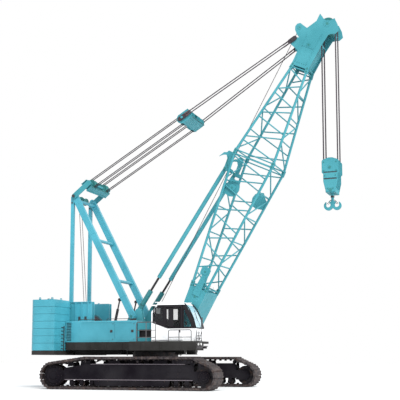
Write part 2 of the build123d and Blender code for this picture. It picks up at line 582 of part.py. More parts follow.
def corner(s, front, hand):
    """Centre of a chord at s along the boom."""
    low, high = (STATIONS[0], STATIONS[1]) if s <= BOOM_WIDEST else (STATIONS[1], STATIONS[2])
    part = (s - low[0]) / (high[0] - low[0])
    rear, fore, half = [a + (b - a) * part for a, b in zip(low[1:], high[1:])]
    m = fore - CHORD_R if front else rear + CHORD_R
    return on_boom(s, m, hand * (half - CHORD_R))


def chords(low, high):
    for front, hand in CORNERS:
        start, end = corner(low, front, hand), corner(high, front, hand)
        with BuildSketch(Plane(origin=start, x_dir=(0, 1, 0), z_dir=BOOM_AXIS)) as section:
            Circle(CHORD_R)
        extrude(section.sketch, amount=(end - start).length, dir=(end - start).normalized())


def strut(start, end, start_chord, end_chord):
    """Lacing tube between two chord centres, cut back to clear both chords."""
    run = (end - start).normalized()
    cut = []
    for chord in (start_chord, end_chord):
        slope = abs(run.dot(chord))
        cut.append((CHORD_R + CLEAR + LACING_R * slope) / sqrt(1 - slope ** 2))
    tube(start + run * cut[0], end - run * cut[1], LACING_R)


def lacing(low, high, side_bays, face_bays):
    """Zigzag on the four faces between two stations, with square frames at the ends."""
    shift = 1.7 * CHORD_R   # neighbours on a chord keep off each other by twice this
    first, last = low + 1.6 * CHORD_R, high - 1.6 * CHORD_R
    for number, bays in enumerate((side_bays, face_bays, side_bays, face_bays)):
        step = (last - first) / bays
        a, b = CORNERS[number], CORNERS[(number + 1) % 4]
        run = {c: (corner(high, *c) - corner(low + 1, *c)).normalized() for c in (a, b)}
        # the front and rear faces have a cross strut at each joint too
        for i in range(0, bays + 1, 1 if bays == face_bays else bays):
            s = first + i * step
            strut(corner(s, *a), corner(s, *b), run[a], run[b])
        for i in range(bays):
            near, far = (a, b) if i % 2 else (b, a)
            strut(corner(first + i * step + shift, *near),
                  corner(first + (i + 1) * step - shift, *far), run[near], run[far])


with BuildPart() as boom_base_chords:
    chords(BOOM_PLATED, BOOM_WIDEST)
keep(boom_base_chords, "boom_base_chords")
with BuildPart() as boom_top_chords:
    chords(BOOM_WIDEST + 0.001, BOOM_NECK)
keep(boom_top_chords, "boom_top_chords")
with BuildPart() as boom_base_lacing:
    lacing(BOOM_PLATED, BOOM_WIDEST, 9, 5)
keep(boom_base_lacing, "boom_base_lacing")
with BuildPart() as boom_top_lacing:
    lacing(BOOM_WIDEST + 0.001, BOOM_NECK, 7, 4)
keep(boom_top_lacing, "boom_top_lacing")

# two pear-shaped plates inside the chords, on which the folded pendants rest
REST_THICK, REST_S = 30, 6900
REST = ((REST_S, 760), (7330, 790), (7400, 700), (7640, 500), (7580, 280), (7450, 140), (7250, 80),
        (7040, 120), (6880, 250), (6830, 420))
with BuildPart() as pendant_rests:
    for front, hand in ((0, -1), (1, 1)):
        chord_in = abs(corner(REST_S, front, hand).Y) - CHORD_R - CLEAR
        plate([(s, m if front else -m) for s, m in REST], hand * (chord_in - REST_THICK / 2),
              REST_THICK, boom_side)
keep(pendant_rests, "pendant_rests")

FOOT_SKIN, LEG_IN, LEG_OUT = 40, BEAM_IN + 66, BEAM_OUT - 66
FOOT_PROFILE = ((0, -160), (900, -330), (BOOM_PLATED, -FOOT_DEPTH / 2),
                (BOOM_PLATED, FOOT_DEPTH / 2), (900, 330), (0, 160))
FOOT_HOLLOW = ((420, -200), (900, -330 + FOOT_SKIN), (BOOM_PLATED + 9, -FOOT_DEPTH / 2 + FOOT_SKIN),
               (BOOM_PLATED + 9, FOOT_DEPTH / 2 - FOOT_SKIN), (900, 330 - FOOT_SKIN), (420, 200))
FOOT_CROTCH = ((-200, -500), (1000, -500), (1000, 500), (-200, 500))
FOOT_POST = ((2150, -170), (BOOM_PLATED, -150), (3080, -90), (3180, -230), (3440, -230), (3520, -120),
             (3520, 120), (3440, 220), (3180, 220), (3080, 120), (BOOM_PLATED, 170), (2150, 190))
with BuildPart() as boom_foot:
    plate(FOOT_PROFILE, 0, LEG_OUT * 2, boom_side)
    plate(((1000, -330), (BOOM_PLATED, -FOOT_DEPTH / 2), (BOOM_PLATED, FOOT_DEPTH / 2),
           (1000, 330)), 0, FOOT_WIDTH, boom_side)
    plate(FOOT_HOLLOW, 0, LEG_OUT * 2 - 2 * FOOT_SKIN, boom_side, mode=Mode.SUBTRACT)
    plate(FOOT_CROTCH, 0, LEG_IN * 2, boom_side, mode=Mode.SUBTRACT)
    for hand in (-1, 1):
        across(FOOT_X, FOOT_Z, hand * LEG_IN, hand * LEG_OUT, 160)
        across(FOOT_X, FOOT_Z, hand * LEG_IN, hand * LEG_OUT, PIN_R + CLEAR, mode=Mode.SUBTRACT)
    # upright plate on the right side, with a wide head
    plate(FOOT_POST, -LEG_OUT - 12, 28, boom_side)
keep(boom_foot, "boom_foot")

# head: two cheeks, cross plates, ears for the pendants and a shaft for the sheaves
HEAD_PLATE = 34
HEAD_OUTLINE = (
    (BOOM_NECK, NECK_REAR), (14200, -290), (14560, -380), (14740, -640), (14900, -800),
    (15060, -860), (15190, -820), (15270, -700), (15200, -480), (15150, -310), (15580, -30),
    (15940, -10), (15860, 110), (15780, 230), (15730, 370), (15750, 500), (15850, 610),
    (15940, 700), (15720, 950), (HEAD_TIP_S, HEAD_TIP_M), (15300, 1020), (15230, 850),
    (15160, 740), (14900, 690), (14630, 640), (BOOM_NECK, NECK_FRONT))
CHEEK_Y = NECK_WIDTH / 2 - HEAD_PLATE / 2
with BuildPart() as boom_head:
    for hand in (-1, 1):
        plate(HEAD_OUTLINE, hand * CHEEK_Y, HEAD_PLATE, boom_side)
        plate(((14050, NECK_REAR + 60), (14250, PENDANT_M - 60), (14560, PENDANT_M - 60),
               (14680, -300)), hand * CHEEK_Y, HEAD_PLATE, boom_side)
    plate(((BOOM_NECK, NECK_REAR), (14200, -290), (14200, -290 + HEAD_PLATE),
           (BOOM_NECK, NECK_REAR + HEAD_PLATE)), 0, NECK_WIDTH, boom_side)
    for s, m, radius in ((SHEAVE_S, SHEAVE_M, PIN_R), (IDLER_SHEAVE_S, IDLER_SHEAVE_M, 45),
                         (14450, 80, 60), (BOOM_NECK + 90, NECK_FRONT - 90, 60)):
        tube(on_boom(s, m, -NECK_WIDTH / 2), on_boom(s, m, NECK_WIDTH / 2), radius)
    for hand in (-1, 1):
        tube(on_boom(PENDANT_S, PENDANT_M, hand * CHEEK_Y),
             on_boom(PENDANT_S, PENDANT_M, hand * (NECK_WIDTH / 2 + 12)), 75)
keep(boom_head, "boom_head")


def sheave(centre, radius, half_width, bore):
    """Grooved rope sheave about an axis along Y."""
    with BuildSketch(Plane(origin=centre, x_dir=(0, 1, 0), z_dir=(1, 0, 0))) as section:
        with BuildLine():
            Polyline((half_width * 0.8, bore), (half_width * 0.8, bore * 1.5),
                     (half_width * 0.4, bore * 1.5), (half_width, radius))
            Line((half_width, radius), (0, radius - ROPE_R * 2.2))
            Line((half_width * 0.8, bore), (0, bore))
            mirror(about=Plane.YZ)
        make_face()
    revolve(section.sketch, axis=Axis(centre, (0, 1, 0)))


with BuildPart() as head_sheaves:
    for y in (-330, -200, 200, 330):
        sheave(on_boom(SHEAVE_S, SHEAVE_M, y), SHEAVE_R, 45, PIN_R + CLEAR)
    sheave(on_boom(IDLER_SHEAVE_S, IDLER_SHEAVE_M, 0), IDLER_SHEAVE_R, 45, 45 + CLEAR)
keep(head_sheaves, "head_sheaves")

# ears on the boom for the backstops, on short arms from the rear chords
EAR_OUT, EAR_PLATE, EAR_ARM_M, EAR_ARM_R = 85, 30, -840, 34
EAR_WING = ((STOP_S, -1000), (8300, -1000), (8730, -1050), (8740, -1300), (8640, -1345), (8590, -1480),
            (8330, -1640), (8480, -1460), (8520, -1320), (8380, -1220), (STOP_S, -1190))
with BuildPart() as backstop_ears:
    for label, hand in SIDES:
        for y in (STOP_Y - EAR_OUT, STOP_Y + EAR_OUT):
            plate(((STOP_S - 90, EAR_ARM_M - 40), (STOP_S - 60, EAR_ARM_M + 60),
                   (STOP_S + 60, EAR_ARM_M + 60), (STOP_S + 90, EAR_ARM_M - 40),
                   (STOP_S + 70, STOP_M - 60), (STOP_S - 70, STOP_M - 60)), hand * y, EAR_PLATE,
                  boom_side)
        plate(EAR_WING, hand * (STOP_Y + EAR_OUT), EAR_PLATE, boom_side)
        chord = corner(STOP_S, 0, hand)
        tube(on_boom(STOP_S, EAR_ARM_M, hand * (STOP_Y - EAR_OUT)),
             on_boom(STOP_S, EAR_ARM_M, chord.Y - hand * (CHORD_R + CLEAR)), EAR_ARM_R)
keep(backstop_ears, "backstop_ears")

# ------------------------------------------------------- gantry and backstops
LEG_FOOT, GANTRY = at(LEG_FOOT_X, 0, LEG_FOOT_Z), at(GANTRY_X, 0, GANTRY_Z)
LEG_RUN = (GANTRY - LEG_FOOT).normalized()
LEG_EAR = LEG_WIDTH / 2 + 15
INNER_EAR = LEG_Y - LEG_EAR - 20        # shared with the backstop
with BuildPart() as mast_brackets:
    for label, hand in SIDES:
        for y, outline in (
                (INNER_EAR, ((-1350, DECK_Z), (-150, DECK_Z), (STOP_X + 125, STOP_Z),
                             (STOP_X - 125, STOP_Z), (LEG_FOOT_X - 140, LEG_FOOT_Z))),
                (LEG_Y + LEG_EAR + 20, ((-1350, DECK_Z), (-250, DECK_Z),
                                        (LEG_FOOT_X + 140, LEG_FOOT_Z),
                                        (LEG_FOOT_X - 140, LEG_FOOT_Z))),
                (STOP_Y - 80, ((-900, DECK_Z), (-150, DECK_Z), (STOP_X + 125, STOP_Z),
                               (STOP_X - 125, STOP_Z)))):
            plate(outline, hand * y, 40)
        across(LEG_FOOT_X, LEG_FOOT_Z, hand * (INNER_EAR - 20), hand * (LEG_Y + LEG_EAR + 40), 55)
        across(STOP_X, STOP_Z, hand * (STOP_Y - 100), hand * (INNER_EAR + 20), 45)
        block((-1750, -150), sorted((hand * (STOP_Y - 100), hand * (LEG_Y + LEG_EAR + 40))),
              (DECK_Z, DECK_Z + 40))
        block((POST_X - 70, POST_X + 70), sorted((hand * (LEG_Y - 70), hand * (LEG_Y + 70))),
              (DECK_Z + 40, POST_TOP))
keep(mast_brackets, "mast_brackets")

with BuildPart() as gantry_legs:
    for label, hand in SIDES:
        offset_y = Vector(0, hand * LEG_Y, 0)
        beam(LEG_FOOT + offset_y, GANTRY + offset_y, LEG_WIDTH, LEG_DEPTH)
        for x, z in ((LEG_FOOT_X, LEG_FOOT_Z), (GANTRY_X, GANTRY_Z)):
            y = hand * LEG_Y
            across(x, z, y - LEG_WIDTH / 2, y + LEG_WIDTH / 2, LEG_DEPTH / 2)
        across(LEG_FOOT_X, LEG_FOOT_Z, hand * LEG_Y - LEG_WIDTH / 2, hand * LEG_Y + LEG_WIDTH / 2,
               55 + CLEAR, mode=Mode.SUBTRACT)
        # seat for the rear link
        block((LINK_X - LINK_WIDTH / 2, LINK_X + LINK_WIDTH / 2),
              sorted((hand * (LEG_Y - LINK_WIDTH / 2), hand * (LEG_Y + LINK_WIDTH / 2))),
              (LINK_TOP_Z + CLEAR, GANTRY_Z))
    inner = LEG_Y - LEG_WIDTH / 2 - CLEAR
    for down in CROSSBAR_DOWN:
        middle = GANTRY - LEG_RUN * down
        tube(middle - Vector(0, inner, 0), middle + Vector(0, inner, 0), 75)
    for label, hand in SIDES:
        across(GANTRY_X, GANTRY_Z, hand * (LEG_Y + LEG_WIDTH / 2),
               hand * (LEG_Y + LEG_WIDTH / 2 + 80), GANTRY_PIN_R)
keep(gantry_legs, "gantry_legs")

with BuildPart() as rear_links:
    for label, hand in SIDES:
        y = hand * LEG_Y
        beam(at(LINK_X, y, LINK_FOOT_Z - LINK_WIDTH / 2), at(LINK_X, y, LINK_TOP_Z),
             LINK_WIDTH, LINK_WIDTH)
        across(LINK_X, LINK_FOOT_Z, y - LINK_WIDTH, y + LINK_WIDTH, LINK_PIN_R + CLEAR,
               mode=Mode.SUBTRACT)
keep(rear_links, "rear_links")

# raising cylinders: an eye on the bracket's post, an eye under the leg
CYLINDER_FOOT = at(POST_X, 0, POST_TOP + CYLINDER_EYE + CLEAR)
LEG_UNDER = Vector(-LEG_RUN.Z, 0, LEG_RUN.X)
CYLINDER_HEAD = (LEG_FOOT + LEG_RUN * CYLINDER_REACH
                 + LEG_UNDER * (LEG_DEPTH / 2 + CYLINDER_EYE + CLEAR))
with BuildPart() as gantry_cylinders:
    for label, hand in SIDES:
        y = Vector(0, hand * LEG_Y, 0)
        run = CYLINDER_HEAD - CYLINDER_FOOT
        tube(CYLINDER_FOOT + y, CYLINDER_FOOT + y + run * 0.6, CYLINDER_R)
        tube(CYLINDER_FOOT + y + run * 0.6, CYLINDER_HEAD + y, CYLINDER_R * 0.55)
        for end in (CYLINDER_FOOT, CYLINDER_HEAD):
            tube(end + y - Vector(0, 60, 0), end + y + Vector(0, 60, 0), CYLINDER_EYE)
keep(gantry_cylinders, "gantry_cylinders")

BASE, STOP_PIN = at(STOP_X, 0, STOP_Z), on_boom(STOP_S, STOP_M)
STOP_RUN = (STOP_PIN - BASE).normalized()
STOP_LENGTH = (STOP_PIN - BASE).length
BARREL_FROM, EYE_R, EYE_HALF = 250, 100, 52
SLEEVE_FROM = BARREL_LENGTH + ROD_SHOWN
with BuildPart() as backstop_barrels:
    for label, hand in SIDES:
        foot = BASE + Vector(0, hand * STOP_Y, 0)
        tube(foot + STOP_RUN * BARREL_FROM, foot + STOP_RUN * BARREL_LENGTH, BARREL_R)
        with BuildSketch(Plane(origin=foot, x_dir=STOP_RUN, z_dir=(0, 1, 0))) as eye:
            Circle(EYE_R)
            with Locations((BARREL_FROM / 2, 0)):
                Rectangle(BARREL_FROM, EYE_R * 2)
            Circle(45 + CLEAR, mode=Mode.SUBTRACT)
        extrude(eye.sketch, amount=EYE_HALF, both=True)
keep(backstop_barrels, "backstop_barrels")
with BuildPart() as backstop_rods:
    for label, hand in SIDES:
        foot = BASE + Vector(0, hand * STOP_Y, 0)
        tube(foot + STOP_RUN * BARREL_LENGTH, foot + STOP_RUN * (SLEEVE_FROM + ROD_INSIDE), ROD_R)
keep(backstop_rods, "backstop_rods")
with BuildPart() as backstop_tubes:
    for label, hand in SIDES:
        foot = BASE + Vector(0, hand * STOP_Y, 0)
        end = STOP_PIN + Vector(0, hand * STOP_Y, 0)
        tube(foot + STOP_RUN * SLEEVE_FROM, end - STOP_RUN * 160, STOP_TUBE_R)
        with BuildSketch(Plane(origin=end, x_dir=-STOP_RUN, z_dir=(0, 1, 0))) as eye:
            Circle(85)
            with Locations((90, 0)):
                Rectangle(180, 150)
        extrude(eye.sketch, amount=50, both=True)
        tube(end - Vector(0, 62, 0), end + Vector(0, 62, 0), 40)
        tube(foot + STOP_RUN * (SLEEVE_FROM - 1), end - STOP_RUN * 300, ROD_R + CLEAR,
             mode=Mode.SUBTRACT)
keep(backstop_tubes, "backstop_tubes")

# --------------------------------------------------------------- luffing tackle
TACKLE, PENDANT_PIN = at(TACKLE_X, 0, TACKLE_Z), on_boom(PENDANT_S, PENDANT_M)
LINE = (PENDANT_PIN - GANTRY).normalized()
LINE_UP = Vector(-LINE.Z, 0, LINE.X)
BRIDLE = GANTRY + LINE * BRIDLE_REACH
ARM_Y = LEG_Y + LEG_WIDTH / 2 + 15
COVER_UP, COVER_THICK, COVER_WEBS = 215, 24, (-845, -435, 435, 845)
SPREADER_COVER, BRIDLE_COVER = (-330, 0), (-120, 420)      # along the ropes from the shaft


def plate_between(centre, along, reach, up, half):
    """Cover plate from -half to half in Y, up off the line of the ropes."""
    above = Vector(-along.Z, 0, along.X) * up
    with BuildSketch(Plane(origin=centre + above, x_dir=along, z_dir=(0, 1, 0))) as cover:
        with Locations(((reach[0] + reach[1]) / 2, 0)):
            Rectangle(reach[1] - reach[0], COVER_THICK)
    extrude(cover.sketch, amount=half, both=True)


def web(centre, along, reach, y):
    """Plate across the sheaves' shaft, between the two cover plates."""
    with BuildSketch(Plane(origin=centre + Vector(0, y, 0), x_dir=along, z_dir=(0, 1, 0))) as sheet:
        with Locations(((reach[0] + reach[1]) / 2, 0)):
            Rectangle(reach[1] - reach[0], COVER_UP * 2)
    extrude(sheet.sketch, amount=COVER_THICK / 2, both=True)


with BuildPart() as spreader:
    reach = (TACKLE - GANTRY).length
    along = (TACKLE - GANTRY).normalized()
    for label, hand in SIDES:
        y = Vector(0, hand * (ARM_Y + 20), 0)
        with BuildSketch(Plane(origin=GANTRY + y, x_dir=along, z_dir=(0, 1, 0))) as arm:
            with Locations((reach / 2, 0)):
                SlotCenterToCenter(reach, 260)
            Circle(GANTRY_PIN_R + CLEAR, mode=Mode.SUBTRACT)
        extrude(arm.sketch, amount=20, both=True)
    across(TACKLE_X, TACKLE_Z, -ARM_Y, ARM_Y, 60)
    # cross plates behind the sheaves, and the plates between them
    for up in (-COVER_UP, COVER_UP):
        plate_between(TACKLE, along, SPREADER_COVER, up, ARM_Y)
    for y in COVER_WEBS:
        web(TACKLE, along, SPREADER_COVER, y)
keep(spreader, "spreader")

TACKLE_SHEAVE_Y = (-720, -560, 560, 720)
with BuildPart() as tackle_sheaves:
    for y in TACKLE_SHEAVE_Y:
        sheave(TACKLE + Vector(0, y, 0), BRIDLE_SHEAVE_R, 50, 60 + CLEAR)
keep(tackle_sheaves, "tackle_sheaves")

with BuildPart() as bridle:
    tube(BRIDLE - Vector(0, BRIDLE_HALF + 80, 0), BRIDLE + Vector(0, BRIDLE_HALF + 80, 0), 60)
    for up in (-COVER_UP, COVER_UP):
        plate_between(BRIDLE, LINE, BRIDLE_COVER, up, COVER_WEBS[-1])
    for y in COVER_WEBS:
        with BuildSketch(Plane(origin=BRIDLE + Vector(0, y, 0) + LINE * 100, x_dir=LINE,
                               z_dir=(0, 1, 0))) as side_plate:
            SlotCenterToCenter(330, (COVER_UP + COVER_THICK / 2) * 2)
        extrude(side_plate.sketch, amount=COVER_THICK / 2, both=True)
keep(bridle, "bridle")

with BuildPart() as bridle_sheaves:
    for y in TACKLE_SHEAVE_Y:
        sheave(BRIDLE + Vector(0, y, 0), BRIDLE_SHEAVE_R, 50, 60 + CLEAR)
keep(bridle_sheaves, "bridle_sheaves")

with BuildPart() as luffing_ropes:
    for y in TACKLE_SHEAVE_Y:
        for turn in (-1, 1):
            up = LINE_UP * turn * (BRIDLE_SHEAVE_R - ROPE_R) + Vector(0, y, 0)
            tube(TACKLE + up + LINE * 20, BRIDLE + up - LINE * 20, ROPE_R)
keep(luffing_ropes, "luffing_ropes")

with BuildPart() as pendants:
    for label, hand in SIDES:
        start = BRIDLE + Vector(0, hand * (BRIDLE_HALF + 30), 0)
        end = PENDANT_PIN + Vector(0, hand * PENDANT_Y_HEAD, 0)
        for up in (-55, 55):
            tube(start + LINE_UP * up, end + LINE_UP * up, PENDANT_R)
        for point in (start, end):
            with BuildSketch(Plane(origin=point, x_dir=LINE, z_dir=(0, 1, 0))) as link:
                SlotCenterToCenter(260, 200)
            extrude(link.sketch, amount=24, both=True)
        tube(start - Vector(0, 60, 0), start + Vector(0, 60, 0), 60 + CLEAR, mode=Mode.SUBTRACT)
keep(pendants, "pendants")

# ------------------------------------------------------------- hoist and hook
HEAD_AXIS = on_boom(SHEAVE_S, SHEAVE_M)
FALL_HALF = SHEAVE_R - ROPE_R * 0.95    # the rope sits in the groove
BLOCK_SHEAVE_Z = BLOCK_TOP - 430
FALL_Y = (-330, -200, 200, 330)
with BuildPart() as hoist_falls:
    for y in FALL_Y:
        for turn in (-1, 1):
            x = HEAD_AXIS.X + turn * FALL_HALF
            tube(Vector(x, y, BLOCK_SHEAVE_Z), Vector(x, y, HEAD_AXIS.Z), ROPE_R)
keep(hoist_falls, "hoist_falls")

HOOK_X = HEAD_AXIS.X - SWING_X
CROSSHEAD_Z = BLOCK_LOW + 110
# right half of the block's cheeks and of the weights on them: (x from its middle, z), going down
BLOCK_WAIST = BLOCK_TOP - 660
BLOCK_RIM = ((90, BLOCK_TOP), (BLOCK_WIDTH / 2 - 40, BLOCK_TOP - 90), (BLOCK_WIDTH / 2, BLOCK_TOP - 150),
             (BLOCK_WIDTH / 2, BLOCK_WAIST), (BLOCK_WIDTH / 2 - 60, BLOCK_WAIST - 60),
             (BLOCK_WIDTH / 2 - 60, BLOCK_WAIST - 400), (200, BLOCK_LOW))
BLOCK_WEIGHTS = (
    ((80, BLOCK_TOP - 20), (300, BLOCK_TOP - 90), (350, BLOCK_TOP - 150), (350, BLOCK_WAIST + 40)),
    ((300, BLOCK_WAIST - 20), (300, BLOCK_WAIST - 250)),
    ((300, BLOCK_WAIST - 310), (300, BLOCK_WAIST - 400), (190, BLOCK_LOW + 20)))
with BuildPart() as hook_block:
    for y in (-BLOCK_HALF + 15, -110, 110, BLOCK_HALF - 15):
        plate([(HOOK_X + turn * x, z) for turn, rim in ((1, BLOCK_RIM), (-1, BLOCK_RIM[::-1]))
               for x, z in rim], y, 30)
    # weights bolted to the outer cheeks, in three courses
    for y in (-BLOCK_HALF - WEIGHT / 2, BLOCK_HALF + WEIGHT / 2):
        for course in BLOCK_WEIGHTS:
            plate([(HOOK_X + turn * x, z) for turn, rim in ((1, course), (-1, course[::-1]))
                   for x, z in rim], y, WEIGHT)
    across(HOOK_X, BLOCK_SHEAVE_Z, -BLOCK_HALF, BLOCK_HALF, PIN_R)
    block((HOOK_X - 220, HOOK_X + 220), (-BLOCK_HALF, BLOCK_HALF),
          (CROSSHEAD_Z - 100, CROSSHEAD_Z + 100))
    tube(at(HOOK_X, 0, CROSSHEAD_Z - 120), at(HOOK_X, 0, CROSSHEAD_Z + 120), 60 + CLEAR,
         mode=Mode.SUBTRACT)
keep(hook_block, "hook_block")

with BuildPart() as hook_block_sheaves:
    for y in FALL_Y:
        sheave(at(HOOK_X, y, BLOCK_SHEAVE_Z), SHEAVE_R, 45, PIN_R + CLEAR)
keep(hook_block_sheaves, "hook_block_sheaves")

HORN_R, HORN_BORE, HORN_X = 200, 105, 185
HORN_Z = HOOK_LOW + HORN_R
with BuildPart() as hook:
    tube(at(HOOK_X, 0, HORN_Z), at(HOOK_X, 0, CROSSHEAD_Z + 160), 60)
    tube(at(HOOK_X, 0, CROSSHEAD_Z + 100 + CLEAR), at(HOOK_X, 0, CROSSHEAD_Z + 190), 85)
    with BuildSketch(side()) as horns:
        for turn in (-1, 1):
            with Locations((HOOK_X + turn * HORN_X, HORN_Z)):
                Circle(HORN_R)
        with Locations((HOOK_X, HORN_Z + 60)):
            Rectangle(150, 330)
        for turn in (-1, 1):
            with Locations((HOOK_X + turn * (HORN_X + 5), HORN_Z + 35)):
                Circle(HORN_BORE, mode=Mode.SUBTRACT)
            with Locations((HOOK_X + turn * (HORN_X + 25), HORN_Z + 150)):
                Rectangle(150, 240, mode=Mode.SUBTRACT)
    extrude(horns.sketch, amount=60, both=True)
keep(hook, "hook")
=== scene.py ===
"""Crawler crane: finish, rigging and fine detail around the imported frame. Metres."""
import json
import math

import bmesh
import bpy
from mathutils import Matrix, Vector


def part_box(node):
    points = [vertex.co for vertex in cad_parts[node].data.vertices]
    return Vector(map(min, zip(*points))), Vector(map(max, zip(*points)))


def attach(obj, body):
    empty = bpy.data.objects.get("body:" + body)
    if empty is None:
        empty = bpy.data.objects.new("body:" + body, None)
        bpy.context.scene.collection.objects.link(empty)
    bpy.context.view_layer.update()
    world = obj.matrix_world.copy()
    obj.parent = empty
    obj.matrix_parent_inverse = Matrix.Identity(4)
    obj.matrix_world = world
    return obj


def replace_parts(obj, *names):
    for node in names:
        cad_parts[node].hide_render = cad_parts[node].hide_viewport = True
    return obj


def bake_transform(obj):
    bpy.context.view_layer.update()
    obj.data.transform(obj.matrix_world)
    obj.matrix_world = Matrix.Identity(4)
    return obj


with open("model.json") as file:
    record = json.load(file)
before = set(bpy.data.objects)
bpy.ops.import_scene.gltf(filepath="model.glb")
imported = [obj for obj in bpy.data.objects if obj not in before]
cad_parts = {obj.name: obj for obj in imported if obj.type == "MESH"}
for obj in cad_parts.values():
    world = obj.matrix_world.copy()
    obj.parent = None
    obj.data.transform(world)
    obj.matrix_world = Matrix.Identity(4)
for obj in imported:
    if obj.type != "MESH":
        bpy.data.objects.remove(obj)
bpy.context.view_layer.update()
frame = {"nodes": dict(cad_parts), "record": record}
NODES = frame["nodes"]
scene = bpy.context.scene

# ------------ places, from the swing axis as in the CAD
RING_LOW, RING_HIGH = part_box("slewing_ring")
SWING_X = (RING_LOW.x + RING_HIGH.x) / 2
SIDES = (("right", -1), ("left", 1))
HANDS = (-1, 1)             # the right side has negative Y
FOOT_X, FOOT_Z, BOOM_ANGLE = 1.35, 2.2, math.radians(65)
BOOM_AXIS = Vector((math.cos(BOOM_ANGLE), 0, math.sin(BOOM_ANGLE)))
BOOM_FRONT = Vector((math.sin(BOOM_ANGLE), 0, -math.cos(BOOM_ANGLE)))
X_AXIS, Y_AXIS, Z_AXIS = (Vector(row) for row in Matrix.Identity(3))
OUTWARD = tuple((hand, Y_AXIS * hand) for hand in HANDS)
# along the boom: rear, front and half width over the chords
STATIONS = ((2.5, -0.425, 0.425, 0.8), (8.8, -1.02, 1.02, 0.99), (13.4, -0.31, 0.53, 0.5))
CHORD_R = 0.058
GAUGE_HALF = 2.9
DECK_Z, HOUSE_TOP, HOUSE_OUT, HOUSE_IN = 2.08, 3.04, 1.70, 1.11
GANTRY_X, GANTRY_Z = -3.8, 9.0          # pin at the gantry's head
MAST_FOOT_X, MAST_FOOT_Z = -0.75, 3.25  # pins at the feet of its legs
LINK_X, LEG_Y = -3.92, 0.92
SHEAVES_AT, GUIDE_AT, PENDANT_AT = (15.61, 0.486), (15.06, -0.64), (14.43, -0.715)  # on the boom
BLOCK_Z = 9.65              # pin of the hook block's sheaves
ROPE_R = 0.014


def add(name, data):
    made = bpy.data.objects.new(name, data)
    scene.collection.objects.link(made)
    return made


def at(x, y, z):
    """Point measured from the swing axis."""
    return Vector((SWING_X + x, y, z))


def upright(x, z, y=0.0):
    """The same, for outlines drawn in side view."""
    return at(x, y, z)


def on_boom(s, m, y=0.0):
    """Point s along the boom from its foot pin and m to the front of its middle."""
    return at(FOOT_X, y, FOOT_Z) + BOOM_AXIS * s + BOOM_FRONT * m


def risen(axis):
    """Direction a quarter turn up from another, in side view."""
    return Vector((-axis.z, 0, axis.x))


def chord(s, front, hand):
    """Centre of a chord of the boom."""
    low, high = STATIONS[:2] if s <= STATIONS[1][0] else STATIONS[1:]
    part = (s - low[0]) / (high[0] - low[0])
    rear, fore, half = [a + (b - a) * part for a, b in zip(low[1:], high[1:])]
    return on_boom(s, fore - CHORD_R if front else rear + CHORD_R, hand * (half - CHORD_R))


GANTRY, TACKLE = at(GANTRY_X, 0, GANTRY_Z), at(-3.05, 0, 9.6)
PENDANT_PIN = on_boom(*PENDANT_AT)
LINE = (PENDANT_PIN - GANTRY).normalized()          # of the pendants
LINE_UP = risen(LINE)
BRIDLE = GANTRY + LINE * 6.4
HEAD_SHEAVE = on_boom(*SHEAVES_AT)
HOOK_X = HEAD_SHEAVE.x - SWING_X


# ------------ camera
CAMERA_PLACE = (16.1132, -38.534, 1.333)            # from the swing axis
CAMERA_HEADING, CAMERA_TILT = 0.34681, math.radians(7)
CAMERA_LENS, CAMERA_SHIFT = 80.672, 0.1214          # the shift keeps the boom's head in the frame


def make_camera():
    data = bpy.data.cameras.new("camera")
    data.sensor_width = 36
    data.lens = CAMERA_LENS
    data.shift_y = CAMERA_SHIFT
    data.clip_end = 300
    camera = add("camera", data)
    camera.location = at(*CAMERA_PLACE)
    camera.rotation_euler = (math.pi / 2 + CAMERA_TILT, 0, CAMERA_HEADING)
    scene.camera = camera


make_camera()


# ------------ materials
class Nodes:
    """A node tree, made by short calls; last is the node that takes what they make."""

    def __init__(self, tree, last):
        self.tree = tree
        self.last = tree.nodes[last]

    def feed(self, target, value):
        """Set a socket from a number, a colour or another socket."""
        if isinstance(value, bpy.types.NodeSocket):
            self.tree.links.new(value, target)
        else:
            target.default_value = (*value, 1) if target.type == "RGBA" else value

    def set(self, **values):
        """Feed the last node's own sockets, named with _ for each space."""
        for key, value in values.items():
            self.feed(self.last.inputs[key.replace("_", " ")], value)

    def node(self, kind, feeds=None, **values):
        """Outputs of a new node, whose inputs are fed by name or by number."""
        made = self.tree.nodes.new(kind)
        for key, value in values.items():
            setattr(made, key, value)
        for key, value in (feeds or {}).items():
            self.feed(made.inputs[key], value)
        return made.outputs

    def mix(self, share, a, b):
        return self.node("ShaderNodeMix", {0: share, 6: a, 7: b}, data_type="RGBA")[2]

    def math(self, operation, a, b):
        return self.node("ShaderNodeMath", {0: a, 1: b}, operation=operation)[0]

    def times(self, a, b):
        return self.math("MULTIPLY", a, b)


